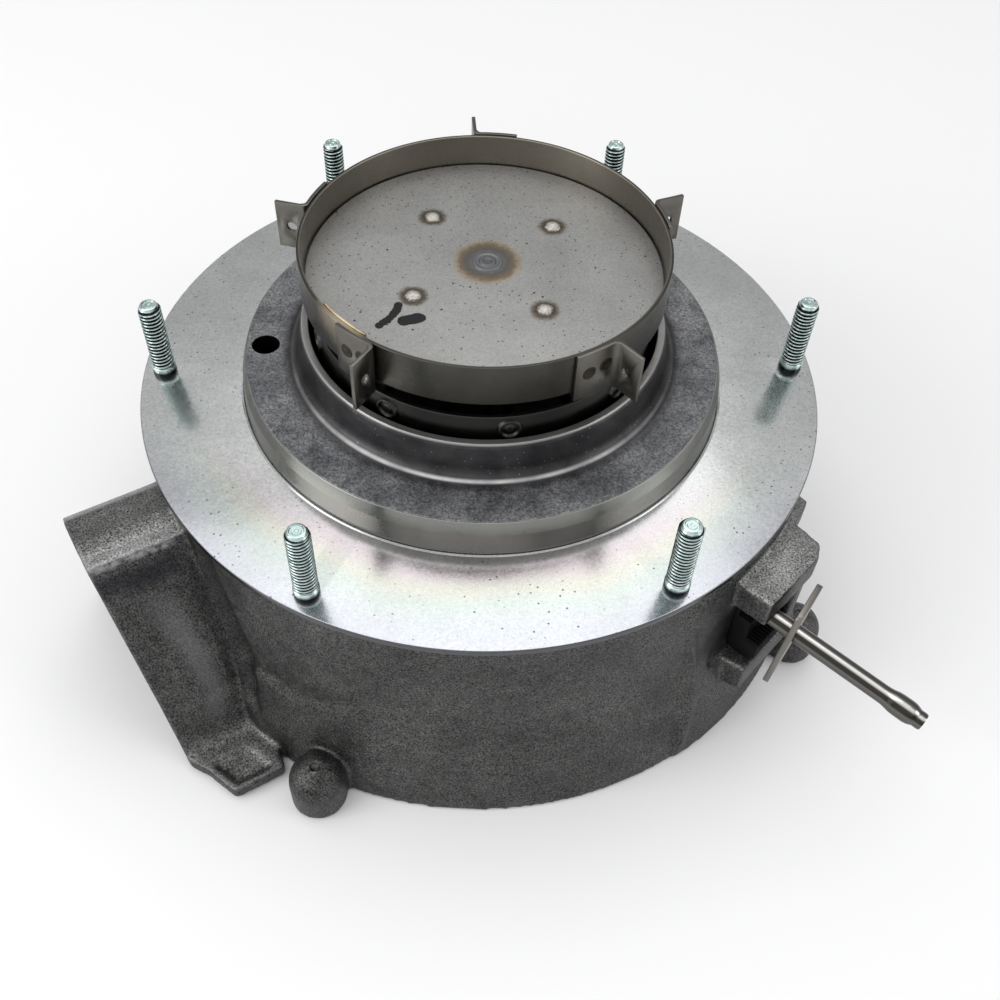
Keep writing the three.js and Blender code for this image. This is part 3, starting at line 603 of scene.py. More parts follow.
def zinc_bolt():
    m = Nodes("zinc_fastener", Metallic=1.0)
    cloud = m.noise(3, 4, 0.6)
    fine = m.noise(0.4, 3, 0.6)
    base = m.mix(m.remap(cloud, 0.3, 0.7), (0.44, 0.58, 0.56, 1), (0.74, 0.84, 0.81, 1))
    base = m.mix(m.remap(fine, 0.5, 0.8, 0, 0.5), base, (0.3, 0.34, 0.35, 1))
    # Painted shade: near-black down in the thread roots and on the stud's foot below the flange top.
    valley = m.add("Attribute", attribute_name="painted_thread_shade").outputs["Fac"]
    base = m.mix(m.remap(valley, 0.05, 0.5, 0, 0.98), base, (0.003, 0.006, 0.007, 1))
    m.set("Base Color", base)
    m.set("Roughness", m.remap(cloud, 0.3, 0.7, 0.2, 0.36))
    m.bump((fine, 0.15, 0.03))
    return m.material


def heat_spots(spots, at_z=None):
    """Brown and blue heat tint round (x, y, z, radius) weld spots."""
    def tint(m, base):
        ragged = m.math("MULTIPLY", m.math("SUBTRACT", m.noise(2.2, 4, 0.65), 0.5), 2.4)
        for x, y, z, radius in spots:
            away = m.math("ADD", m.distance(x, y, z), ragged)
            halo = m.ramp(m.remap(away, 0, radius * 1.6),
                          (0.0, (0.5, 0.48, 0.44)), (0.3, (0.12, 0.12, 0.13)),
                          (0.5, (0.2, 0.13, 0.07)), (0.68, (0.42, 0.3, 0.14)),
                          (1.0, (0.5, 0.46, 0.38)))
            weight = m.remap(away, radius * 0.75, radius * 1.5, 0.85, 0.0, smooth=True)
            base = m.mix(weight, base, halo)
        return base
    return tint


DISC_WELDS = ((-15.4, 20), (17.4, 18.6), (-17.6, -13.4), (15.9, -16.1))
DISC_TOP = DISC_Z + 1
MARKS = (([(-21.0 - 0.06 * k * k, -17.2 - 1.0 * k) for k in range(9)], 1.25),
         ([(-18.9 + 0.5 * k, -23.0 + 0.2 * k) for k in range(8)], 1.9))


def disc_metal():
    """Matt rolled sheet with specks, fine scratches and heat tint round its welds."""
    m = Nodes("disc_steel", Metallic=0.85)
    cloud = m.noise(24, 4, 0.5)
    fine = m.noise(0.45, 4, 0.7)
    base = m.mix(m.remap(cloud, 0.3, 0.7), (0.32, 0.32, 0.31, 1), (0.4, 0.4, 0.388, 1))
    base = m.mix(1.0, base, m.remap(fine, 0.3, 0.7, 0.78, 1.24), "MULTIPLY")
    specks = m.remap(m.cells(1.9), 0.09, 0.15, 0.85, 0.0)
    base = m.mix(specks, base, (0.035, 0.033, 0.03, 1))
    motes = m.remap(m.cells(5.3), 0.05, 0.075, 0.9, 0.0)
    base = m.mix(motes, base, (0.02, 0.02, 0.02, 1))
    glints = m.remap(m.cells(1.3, where=m.scaled(1, 1.1, 1)), 0.04, 0.09, 0.5, 0.0)
    base = m.mix(glints, base, (0.75, 0.74, 0.72, 1))
    turn = m.add("Mapping")
    m.link(m.coordinates, turn.inputs["Vector"])
    turn.inputs["Rotation"].default_value = (0, 0, math.radians(52))
    turn.inputs["Scale"].default_value = (9, 0.55, 1)
    scratch = m.noise(7, 2, 0.4, where=turn.outputs["Vector"])
    line = m.math("SUBTRACT", 1.0, m.remap(m.math("ABSOLUTE", m.math("SUBTRACT", scratch, 0.62)),
                                           0.0, 0.004))
    line = m.math("MULTIPLY", line, m.remap(m.noise(20, 2, 0.5), 0.5, 0.6))
    base = m.mix(m.math("MULTIPLY", line, 0.5), base, (0.1, 0.1, 0.095, 1))
    ragged = m.math("MULTIPLY", m.math("SUBTRACT", m.noise(1.3, 5, 0.75), 0.5), 2.6)
    soot = m.remap(m.noise(0.7, 4, 0.8), 0.36, 0.62)
    for x, y in DISC_WELDS:
        away = m.math("ADD", m.distance(x, y), ragged)
        halo = m.ramp(m.remap(away, 0, 4.6), (0.0, (0.85, 0.82, 0.76)), (0.4, (0.62, 0.59, 0.53)),
                      (0.5, (0.07, 0.055, 0.035)), (0.66, (0.14, 0.1, 0.06)),
                      (1.0, (0.28, 0.26, 0.22)))
        dirt = m.math("MULTIPLY", soot, m.remap(m.distance(x, y), 0.4, 2.2, 0.25, 0.85))
        halo = m.mix(dirt, halo, (0.07, 0.06, 0.045, 1))
        base = m.mix(m.remap(away, 2.8, 4.6, 0.92, 0.0, smooth=True), base, halo)
    wobble = m.math("MULTIPLY", m.math("SUBTRACT", m.noise(2.4, 3, 0.6), 0.5), 0.9)
    for points, thick in MARKS:
        near = 99.0
        for x, y in points:
            near = m.math("MINIMUM", near, m.distance(x, y))
        ink = m.remap(m.math("ADD", near, wobble), thick - 0.15, thick, 0.94, 0.0)
        base = m.mix(ink, base, (0.006, 0.006, 0.008, 1))
    away = m.math("ADD", m.distance(0.5, 2.0), m.math("MULTIPLY", ragged, 1.5))
    halo = m.ramp(m.remap(away, 0, 11), (0.0, (0.1, 0.105, 0.11)), (0.3, (0.16, 0.165, 0.17)),
                  (0.5, (0.1, 0.095, 0.085)), (0.64, (0.17, 0.13, 0.09)),
                  (0.8, (0.34, 0.25, 0.12)), (1.0, (0.34, 0.32, 0.28)))
    base = m.mix(m.remap(away, 7.2, 10, 0.92, 0.0, smooth=True), base, halo)
    m.set("Base Color", base)
    m.set("Roughness", m.remap(fine, 0.3, 0.7, 0.4, 0.56))
    m.bump((m.noise(30, 2, 0.4), 0.2, 1.0), (fine, 0.25, 0.05))
    return m.material


def plain_black(name, color, roughness, grain=0.6):
    m = Nodes(name, Specular_IOR_Level=0.1)
    fine = m.noise(grain, 4, 0.6)
    cloud = m.noise(6, 4, 0.6)
    m.set("Base Color", m.mix(m.remap(cloud, 0.3, 0.7), (*color, 1),
                              tuple(c * 2.1 + 0.002 for c in color) + (1,)))
    m.set("Roughness", m.remap(cloud, 0.3, 0.7, roughness - 0.08, roughness + 0.1))
    m.bump((fine, 0.25, 0.06), (cloud, 0.2, 0.3))
    return m.material


def winding():
    """Copper wire laid in close turns."""
    m = Nodes("copper_winding", Metallic=0.9)
    x, y, z = m.xyz()
    turns = m.math("SINE", m.math("MULTIPLY", z, 2 * math.pi / (0.55 * MM)))
    cloud = m.noise(3, 3, 0.5)
    base = m.mix(m.remap(cloud, 0.3, 0.7), (0.3, 0.1, 0.03, 1), (0.55, 0.22, 0.08, 1))
    base = m.mix(m.remap(turns, -1, 0, 0.7, 0), base, (0.08, 0.025, 0.01, 1))
    m.set("Base Color", base)
    m.set("Roughness", m.remap(cloud, 0.3, 0.7, 0.25, 0.4))
    m.bump((turns, 0.8, 0.12))
    return m.material


def laminated():
    m = Nodes("motor_iron", Metallic=0.7)
    x, y, z = m.xyz()
    layers = m.math("SINE", m.math("MULTIPLY", z, 2 * math.pi / (0.5 * MM)))
    cloud = m.noise(4, 4, 0.6)
    base = m.mix(m.remap(cloud, 0.3, 0.7), (0.035, 0.035, 0.038, 1), (0.09, 0.088, 0.085, 1))
    m.set("Base Color", m.mix(m.remap(layers, -1, 1, 0, 0.35), base, (0.16, 0.16, 0.16, 1)))
    m.set("Roughness", m.remap(cloud, 0.3, 0.7, 0.4, 0.6))
    m.bump((layers, 0.4, 0.05))
    return m.material


def board_green():
    m = Nodes("circuit_board")
    tracks = m.cells(3.2, "DISTANCE_TO_EDGE", randomness=0.35)
    cloud = m.noise(8, 3, 0.5)
    base = m.mix(m.remap(tracks, 0.06, 0.1), (0.03, 0.17, 0.07, 1), (0.01, 0.07, 0.03, 1))
    m.set("Base Color", base)
    m.set("Roughness", m.remap(cloud, 0.3, 0.7, 0.3, 0.45))
    m.bump((tracks, 0.2, 0.05))
    return m.material


def ring_tint(m, base):
    """Straw and brown heat colour by the lap weld of the ring band; the inner face is 3.2 times lighter, so the
    band's darker outer face is painted shade.
    """
    seam = polar(RING_R, 226, RING_TOP_Z)
    away = m.math("ADD", m.distance(*seam),
                  m.math("MULTIPLY", m.math("SUBTRACT", m.noise(3, 4, 0.6), 0.5), 6))
    hot = m.ramp(m.remap(away, 0, 14), (0.0, (0.85, 0.74, 0.56)), (0.4, (0.66, 0.55, 0.38)),
                 (0.75, (0.34, 0.29, 0.22)), (1.0, (0.2, 0.18, 0.16)))
    # The inner face is 3.2 times lighter than the outer face, whose dark colour is painted shade.
    inside = m.remap(m.distance(0, 0), RING_R - 0.75, RING_R - 0.5, 1.0, 0.0)
    base = m.mix(inside, base, m.mix(1.0, base, (3.2, 3.05, 2.9, 1), "MULTIPLY"))
    weight = m.math("MULTIPLY", m.remap(away, 5, 11, 0.75, 0, smooth=True),
                    m.remap(inside, 0, 1, 0.45, 1.0))
    return m.mix(weight, base, hot)


def pipe_shade(m, base):
    """Painted reflection on the drawn pipe: a painted highlight along its top and dark painted reflection bands
    along its flank, set by which way the surface faces.
    """
    turned_away = m.add("VectorMath", operation="DOT_PRODUCT")
    m.link(m.add("NewGeometry").outputs["Normal"], turned_away.inputs[0])
    turned_away.inputs[1].default_value = (-0.52, -0.65, -0.55)
    bands = m.ramp(m.remap(turned_away.outputs["Value"], -1, 1), (0.0, (0.25, 0.25, 0.25)),
                   (0.26, (0.4, 0.4, 0.4)), (0.37, (2.1, 2.1, 2.1)), (0.44, (1.6, 1.6, 1.6)),
                   (0.52, (0.12, 0.11, 0.1)), (0.66, (0.09, 0.085, 0.075)),
                   (0.8, (0.4, 0.4, 0.38)), (1.0, (0.2, 0.2, 0.2)))
    return m.mix(1.0, base, bands, "MULTIPLY")


def shoulder_cast():
    """The shoulder's rough cast face, smoother and darker up the collar, with a painted highlight along the
    fillet (strongest at the front) and on the collar's rim, and near-black inside the sensor hole.
    """
    m = Nodes("shoulder_metal", Metallic=0.9)
    x, y, z = m.xyz()
    r = m.math("MULTIPLY", m.math("SQRT", m.math("ADD", m.math("MULTIPLY", x, x),
                                                 m.math("MULTIPLY", y, y))), 1000)
    height = m.math("MULTIPLY", z, 1000)
    rough_face = m.remap(m.math("ADD", r, m.math("MULTIPLY", m.noise(2, 3, 0.6), 1.2)), 54, 56.5)
    cloud = m.noise(9, 5, 0.62, distortion=0.5)
    fine = m.noise(0.42, 4, 0.7)
    pits = m.cells(0.8)
    base = m.mix(m.remap(cloud, 0.33, 0.68), (0.105, 0.108, 0.116, 1), (0.265, 0.268, 0.275, 1))
    base = m.mix(1.0, base, m.remap(m.noise(0.62, 3, 0.75), 0.3, 0.7, 0.3, 1.8), "MULTIPLY")
    base = m.mix(m.remap(pits, 0.08, 0.26, 0.75, 0.0), base, (0.015, 0.015, 0.015, 1))
    vein = m.math("ABSOLUTE", m.math("SUBTRACT", m.noise(5, 5, 0.6, distortion=0.8), 0.5))
    base = m.mix(m.remap(vein, 0.0, 0.014, 0.5, 0.0), base, (0.03, 0.03, 0.03, 1))
    smooth_face = m.mix(m.remap(cloud, 0.3, 0.7), (0.032, 0.032, 0.034, 1),
                        (0.075, 0.075, 0.077, 1))
    smooth_face = m.mix(m.remap(m.cells(1.5), 0.05, 0.1, 0.8, 0.0), smooth_face,
                        (0.5, 0.5, 0.49, 1))
    base = m.mix(rough_face, smooth_face, base)
    # Painted highlight along the fillet at radius 52.55, strongest at the front.
    fillet = m.math("SUBTRACT", 1.0, m.remap(m.math("ABSOLUTE", m.math("SUBTRACT", r, 52.55)),
                                             0.0, 0.75, smooth=True))
    fillet = m.math("MULTIPLY", fillet, m.remap(m.noise(12, 4, 0.6), 0.3, 0.62, 0.35, 0.9))
    fillet = m.math("MULTIPLY", fillet, m.remap(y, -0.012, -0.045, 0.12, 1.0))
    base = m.mix(fillet, base, (0.62, 0.62, 0.61, 1))
    # Painted highlight on the collar's rim.
    rim = m.remap(height, COLLAR_Z - 0.7, COLLAR_Z - 0.25)
    base = m.mix(m.math("MULTIPLY", rim, 0.7), base, (0.5, 0.49, 0.47, 1))
    hole = m.remap(m.distance(*SENSOR_HOLE_AT), SENSOR_HOLE_R + 0.05, SENSOR_HOLE_R + 0.15, 1.0,
                   0.0)
    base = m.mix(hole, base, (0.004, 0.004, 0.004, 1))
    m.set("Base Color", base)
    m.set("Roughness", m.math("ADD", m.remap(rough_face, 0, 1, 0.32, 0.46),
                              m.remap(cloud, 0.3, 0.7, 0, 0.12)))
    m.bump((m.noise(8, 3, 0.5), 0.25, 0.5), (m.math("MULTIPLY", fine, rough_face), 0.9, 0.12),
           (pits, 0.4, 0.05))
    return m.material


shoulder_metal = shoulder_cast()
steps_metal = turned_metal("machined_step", (0.29, 0.293, 0.272), 0.26)
zinc = zinc_plate()
fastener = zinc_bolt()
stainless = sheet_steel("stainless_sheet", (0.23, 0.22, 0.205), 0.3, 0.8)
# Painted shade: this dark colour darkens the band's outer face; ring_tint lightens its inner face 3.2 times.
ring_steel = sheet_steel("ring_steel", (0.077, 0.074, 0.067), 0.3, 0.9, ring_tint)
sleeve_steel = sheet_steel("sleeve_steel", (0.058, 0.058, 0.057), 0.34, 0.4)
pipe_steel = sheet_steel("pipe_steel", (0.42, 0.415, 0.4), 0.17, 0.3, pipe_shade, specks=0.1)
zinc_sheet = sheet_steel("zinc_sheet", (0.52, 0.54, 0.53), 0.32, 0.4)
disc_steel = disc_metal()
rubber = plain_black("black_rubber", (0.003, 0.003, 0.0035), 0.55)
nylon = plain_black("black_nylon", (0.014, 0.014, 0.015), 0.5, 1.2)
copper = winding()
iron = laminated()
bearing_steel = turned_metal("bearing_steel", (0.6, 0.6, 0.6), 0.16)
board = board_green()


scene.view_settings.view_transform = "Standard"


def dress(piece, material, body="housing", replaces=()):
    piece.data.materials.clear()
    piece.data.materials.append(material)
    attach(piece, body)
    if replaces:
        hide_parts(*replaces)
    return piece


# ---- fan housing -------------------------------------------------------------------------------

plate_point = np.array(PIPE_PLATE_POINT)
pipe_axis = np.array([math.cos(math.radians(PIPE_AZ)) * math.cos(math.radians(PIPE_SLOPE)),
                      math.sin(math.radians(PIPE_AZ)) * math.cos(math.radians(PIPE_SLOPE)),
                      math.sin(math.radians(PIPE_SLOPE))])
along = lambda distance: plate_point + pipe_axis * distance


def along_pipe(piece, distance):
    at = Vector(along(distance)) * MM
    piece.data.transform(
        Matrix.Translation(at) @ Matrix.Rotation(math.radians(PIPE_AZ), 4, "Z")
        @ Matrix.Rotation(math.pi / 2 - math.radians(PIPE_SLOPE), 4, "Y"))
    return piece


def softly(x, low, high):
    t = np.clip((x - low) / (high - low), 0, 1)
    return t * t * (3 - 2 * t)


def off_line(s, z, line):
    """Distance in (arc length, height) from a polyline."""
    best = np.full(s.shape, 1e9)
    for (s0, z0), (s1, z1) in zip(line, line[1:]):
        ds, dz = s1 - s0, z1 - z0
        t = np.clip(((s - s0) * ds + (z - z0) * dz) / (ds * ds + dz * dz), 0, 1)
        best = np.minimum(best, np.hypot(s - s0 - t * ds, z - z0 - t * dz))
    return best


def wall_radius(az, z):
    """Radius of the cast wall: a steep upper band, a flare below the waist, and a proud pad."""
    waist = np.interp(az, (-150, -131, -112, -98, -88), (14, 19, 33, 36, WAIST_Z))
    low = BASE_R + (WAIST_R - BASE_R) * z / waist
    high = WAIST_R + (DECK_R - WAIST_R) * (z - waist) / (DECK_Z - waist)
    r = high + 0.5 * np.logaddexp(0, (low - high) / 0.5)
    arc = np.radians(az) * WAIST_R
    at = lambda a: math.radians(a) * WAIST_R
    bead = ((at(-54), -3), (at(-50.5), 20.5), (at(-51), 38), (at(-53.4), 56), (at(-53.4), 60.5),
            (at(-52), 63.5), (at(-49), 65), (at(-43), 65.2))
    pad = softly(arc, at(-53.5), at(-52)) * (1 - softly(arc, at(-26), at(-24)))
    pad = pad * (1 - softly(z, 61, 64))
    ledge = np.interp(az, (-132, -124, -119, -111, -104, -98), (28, 27, 27, 31, 35, 37))
    proud = np.interp(az, (-150, -134, -120, -111, -97), (0, 1, 1, 0.6, 0))
    r = r + 1.4 * proud * softly(ledge - z, -2, 2) * softly(z, -2, 14)
    r = r + 0.8 * pad + 1.0 * np.exp(-((off_line(arc, z, bead) / 1.1) ** 2)) * softly(z, -1, 1)
    return r


def wall_shell():
    azimuths = np.linspace(-180, 180, 901)[:-1]
    heights = np.linspace(0, DECK_Z, 96)
    verts, faces = [], []
    for z in heights:
        r = wall_radius(azimuths, np.full(azimuths.shape, z))
        verts += [(rr * math.cos(math.radians(a)), rr * math.sin(math.radians(a)), z)
                  for rr, a in zip(r, azimuths)]
    count = len(azimuths)
    for i in range(len(heights) - 1):
        for k in range(count):
            n = (k + 1) % count
            faces.append((i * count + k, i * count + n, (i + 1) * count + n, (i + 1) * count + k))
    faces.append(tuple(range(count))[::-1])
    faces.append(tuple(range((len(heights) - 1) * count, len(heights) * count)))
    return make("wall", verts, faces)


def horn_half(z):
    """Half width of the horn's near wall at a height."""
    return np.interp(z, (0, 61.5), (HORN_FOOT_HALF, HORN_SHOULDER_HALF))


def horn_outline(inset):
    slope = inset * 1.06
    near = [(inset, HORN_FOOT_HALF - slope), (HORN_SHOULDER_Z - 0.6 * inset,
                                              HORN_SHOULDER_HALF - slope),
            (HORN_TOP_Z - inset, HORN_TOP_HALF - 0.4 * inset)]
    far = [(HORN_TOP_Z - inset, 0.4 * inset - HORN_FAR_TOP_HALF),
           (HORN_SHOULDER_Z - 0.6 * inset, slope - HORN_FAR_SHOULDER_HALF),
           (inset, slope - HORN_FOOT_HALF)]
    return near + far


def along_horn(name, outline, start, end):
    """Stands a [height, lateral] outline up between two distances along the horn's axis."""
    count = len(outline)
    verts = [(u, v + HORN_OFFSET, z) for u in (start, end) for z, v in outline]
    faces = [list(range(count))[::-1], list(range(count, 2 * count))]
    faces += [[i, (i + 1) % count, count + (i + 1) % count, count + i] for i in range(count)]
    return move(make(name, verts, faces), az=HORN_AZ)


def horn_trim():
    cutter = make("trim", [(x, y, z) for x in (0, 40) for y in (-60, 60) for z in (-60, 90)],
                  [(0, 1, 3, 2), (4, 5, 7, 6), (0, 1, 5, 4), (2, 3, 7, 6), (0, 2, 6, 4),
                   (1, 3, 7, 5)])
    cutter.data.transform(
        Matrix.Rotation(math.radians(HORN_AZ), 4, "Z")
        @ Matrix.Translation(Vector((HORN_FACE, 0, HORN_TOP_Z / 2)) * MM)
        @ Matrix.Rotation(math.radians(HORN_TILT), 4, "Y"))
    return cutter


def domed_boss(az):
    section = [(0, 0), (BOSS_R, 0), (BOSS_R, 9)]
    section += [(BOSS_R * math.cos(a), 9 + BOSS_R * 0.98 * math.sin(a))
                for a in np.linspace(0.15, 1.35, 10)]
    section += [(1.2, 16.4), (0.6, 15.9), (0, 15.8)]
    boss = lathe("boss", section, 64, steps=1)
    weld(boss, box("web", (-16, -5.8, 0), (0, 5.8, 9.5)))
    return move(boss, polar(BOSS_CIRCLE_R, az), az)


LUG = ((90, 30), (114.4, 30), (114.4, 36.4), (111.4, 41), (107.4, 51), (92.5, 51))
HORN_FLARE = ((0, 41), (3.9, 40.6), (4.8, 38.6), (6.6, 36.4), (9, 34.6), (12, 32.8), (16, 30.4),
              (16, 20), (0, 20))


def horn_root(z, beyond, spread=0.0):
    """Where the horn's front wall meets the round wall, a distance beyond the wall's plane."""
    flare = np.interp(z, [p[0] for p in HORN_FLARE[:7]], [p[1] for p in HORN_FLARE[:7]])
    v = HORN_OFFSET + max(horn_half(z), flare if z < 16 else 0) + beyond
    reach = float(wall_radius(np.array([-130.0]), np.array([z]))[0])
    return math.sqrt(reach ** 2 - v ** 2) + spread, v


def horn_ridge():
    """The horn's front wall swells to a rounded edge before it drops to the round wall."""
    section = ((30, -5), (30, -0.3), (20, 0.25), (11, 0.9), (5, 1.7), (1.5, 2.1), (-1.2, 1.5),
               (-3, 0), (-4, -5))
    heights = np.linspace(63.5, 2.5, 44)
    verts, count = [], len(section)
    for z in heights:
        u, v = horn_root(z, 0, np.interp(z, (4, 20, 50, 64), (-1, 1.4, 1.8, 0.5)))
        proud = np.interp(z, (4, 18, 50, 61), (0.1, 1, 1, 0.25))
        verts += [(u + du, v + (dv * proud if dv > 0 else dv), z) for du, dv in section]
    faces = [list(range(count)), list(range(len(verts) - count, len(verts)))[::-1]]
    for row in range(len(heights) - 1):
        low = row * count
        faces += [(low + k, low + count + k, low + count + (k + 1) % count, low + (k + 1) % count)
                  for k in range(count)]
    return move(make("ridge", verts, faces), az=HORN_AZ)


def horn_valley():
    """The hollow that sets the horn's rounded edge off from the round wall."""
    heights = np.linspace(66, 8, 34)
    points = [(*horn_root(z, 8.2, 3.7), z) for z in heights]
    radii = np.interp(heights, (8, 12, 30), (2.8, 3.4, 6.1))
    return move(tube("valley", points, lambda i: radii[i]), az=HORN_AZ)


def casting():
    """The outside of the housing, fused, softened as a casting, and then hollowed."""
    body = wall_shell()
    parts = [along_horn("horn", horn_outline(0), 84, HORN_FACE + 4),
             along_horn("flare", HORN_FLARE, 84, HORN_FACE + 4),
             move(slab("lug", LUG, 0, 4.6), az=HORN_AZ), horn_ridge()]
    parts += [domed_boss(az) for az in BOSS_AZ]
    port = [slab("shelf", [(86, -6.5), (105, -6.5), (105.2, 15.5), (103, 19.8), (94.5, 21),
                           (92.6, 30), (84, 30)], SHELF_UNDER_Z, SHELF_Z),
            slab("sill", [(86, -8.5), (104, -6), (104, 19.8), (86, 19.8)], 20, SILL_Z),
            slab("cheek", [(86, 13.5), (104, 13.5), (103, 19.8), (86, 19.8)], SILL_Z - 1,
                 SHELF_UNDER_Z + 1)]
    parts += [move(p, az=PORT_AZ) for p in port]
    weld(body, *parts)
    lug_dish = slab("dish", [(99.2, 40), (109.6, 40.2), (105.8, 49.2), (95.2, 49.2)], 3.6, 9)
    carve(body, horn_valley(), move(lug_dish, az=HORN_AZ), horn_trim(),
          move(lathe("notch", [(0, 20.5), (8.1, 20.5), (8.1, 40), (0, 40)], 64),
               polar(BOSS_CIRCLE_R, BOSS_AZ[0])),
          move(box("window", (80, PORT_NEAR, SILL_Z + 2), (110, PORT_FAR, SHELF_UNDER_Z - 1)),
               az=PORT_AZ),
          along_pipe(rod("channel", PIPE_R + 1, -42, 0, 32), 0),
          move(box("recess", (95.2, -12, SILL_Z), (110, 13.5, SHELF_UNDER_Z)), az=PORT_AZ))
    remesh = body.modifiers.new("fuse", "REMESH")
    remesh.mode = "VOXEL"
    remesh.voxel_size = 0.62 * MM
    bake(body)
    soften = body.modifiers.new("soften", "SMOOTH")
    soften.factor = 0.5
    soften.iterations = 11
    bake(body)
    roof = DECK_Z - DECK_T
    chamber = lathe("chamber", [
        (0, -1), (COVER_R + GAP, -1), (COVER_R + GAP, LEDGE_Z), (COVER_R - WALL, LEDGE_Z),
        (WAIST_R - WALL, WAIST_Z), (DECK_R - WALL, roof), (72, roof), (72, DECK_Z + 2),
        (0, DECK_Z + 2)], 180, steps=1)
    duct = along_horn("duct", horn_outline(WALL), 96.5, HORN_FACE + 10)
    inner = along_horn("inner", [(7, -27), (7, 27), (32, 17), (32, -17)], 78, 98)
    level = box("level", (-140, -140, -3), (140, 140, 0.05))
    pip = lathe("pip", [(0, 15.3), (1.1, 15.6, 0.5), (2.3, 17.4), (2.3, 19), (0, 19)], 32)
    carve(body, chamber, duct, inner, level,
          *[move(copy(pip, "pip"), polar(BOSS_CIRCLE_R, az)) for az in BOSS_AZ])
    bpy.data.objects.remove(pip)
    shade(body, 42)
    return body


housing = casting()
dress(housing, cast, replaces=["fan_housing"])
housing.name = "housing_casting"

neck_z = STEP_Z - DECK_T
step_wall = lathe("housing_step", [
    (STEP_FOOT_R - WALL, 63.7), (DECK_R - 20, 63.7), (DECK_R - 20, DECK_Z - 0.02),
    (STEP_FOOT_R, DECK_Z - 0.02), (STEP_FOOT_R, 69.9, 0.2), (STEP_EDGE_R, STEP_EDGE_Z, 0.4),
    (STEP_R, STEP_Z - 0.1, 0.3), (STEP_R - 3, STEP_Z - 0.6), (STEP_R - WALL, neck_z)], 260, 4)
dress(step_wall, steps_metal, replaces=["fan_housing"])

shoulder = lathe("housing_shoulder", [
    (STEP_R - WALL, neck_z), (STEP_R - 2.6, STEP_Z - 0.9), (STEP_R - 0.15, STEP_Z - 0.3, 0.1),
    (STEP_R - 0.5, STEP_Z, 0.25), (COLLAR_FOOT_R - 0.4, STEP_Z, 4.2),
    (COLLAR_R, COLLAR_Z - 1.2, 0.8), (COLLAR_R - 0.6, COLLAR_Z, 0.4),
    (COLLAR_BORE_R, COLLAR_Z, 0.35), (COLLAR_BORE_R, neck_z + 3), (COLLAR_FOOT_R - 1, neck_z)],
    280, 10)
for cast_face in (step_wall, shoulder):
    carve(cast_face, move(lathe("hole", [
        (0, 60), (SENSOR_HOLE_R, 60), (SENSOR_HOLE_R, STEP_Z - 0.25, 0.2),
        (SENSOR_HOLE_R + 0.25, STEP_Z + 0.05), (SENSOR_HOLE_R + 0.25, STEP_Z + 2),
        (0, STEP_Z + 2)], 48), (*SENSOR_HOLE_AT, 0)))
    shade(cast_face, 40)
dress(shoulder, shoulder_metal, replaces=["fan_housing"])

# ---- bottom cover and gasket -------------------------------------------------------------------

cover = lathe("bottom_cover_plate", [(0, 0), (COVER_R, 0, 0.5), (COVER_R, COVER_T, 0.4),
                                     (0, COVER_T)], 180)
carve(cover, *[move(lathe("sink", [(0, -0.5), (4.6, -0.5), (4.6, 0.4), (2.3, 2.9), (2.3, 5),
                                   (0, 5)], 40), polar(COVER_SCREW_R, az))
               for az in COVER_SCREW_AZ],
      lathe("dish", [(30, -1), (70, -1), (69, 0.5, 0.3), (31, 0.5, 0.3)], 120),
      *[move(rod("thread", 1.8, 1.2, 5, 24), polar(MOTOR_SCREW_R, az)) for az in MOTOR_SCREW_AZ])
shade(cover, 30)
dress(cover, cast, replaces=["bottom_cover"])

gasket_z = COVER_T + GAP
gasket = lathe("cover_seal", [(94.5, gasket_z, 0.2), (COVER_R, gasket_z, 0.2),
                              (COVER_R, gasket_z + GASKET_T, 0.2),
                              (94.5, gasket_z + GASKET_T, 0.2)], 160)
dress(gasket, rubber, replaces=["cover_gasket"])


def hexagon(r, bottom, top):
    return slab("hex", [polar(r, 60 * k) for k in range(6)], bottom, top)


def several(piece, name, places, material, body="housing"):
    """Puts copies of a piece at (number, position, azimuth) and drops the first."""
    for number, position, az in places:
        double = move(copy(piece, f"{name}_{number}_look"), position, az)
        dress(double, material, body, [f"{name}_{number}"])
    bpy.data.objects.remove(piece)


sunk_screw = lathe("sunk", [(0, 0.2), (4.2, 0.2, 0.15), (4.2, 0.5, 0.1), (2, 2.7), (2, 15, 0.4),
                            (0, 15)], 40)
carve(sunk_screw, hexagon(1.4, -0.5, 1.6))
several(sunk_screw, "cover_screw",
        [(i + 1, polar(COVER_SCREW_R, az), az) for i, az in enumerate(COVER_SCREW_AZ)],
        fastener)

# ---- burner flange and studs -------------------------------------------------------------------

flange = lathe("burner_flange_plate", [
    (FLANGE_BORE_R, DECK_Z + GAP), (FLANGE_R, DECK_Z + GAP, 0.3), (FLANGE_R, FLANGE_Z, 0.35),
    (FLANGE_BORE_R + 0.75, FLANGE_Z, 0.2), (FLANGE_BORE_R + 0.4, FLANGE_Z + 0.28, 0.2),
    (FLANGE_BORE_R, FLANGE_Z + 0.1, 0.1)], 280, 4)
carve(flange, *[move(rod("hole", STUD_R + 0.2, FLANGE_Z - 3, FLANGE_Z + 1, 40),
                     polar(STUD_CIRCLE_R, az)) for az in STUD_AZ])
shade(flange, 30)
dress(flange, zinc, replaces=["burner_flange"])


PITCH = 1.15
STUD_CREST_R = 3.08


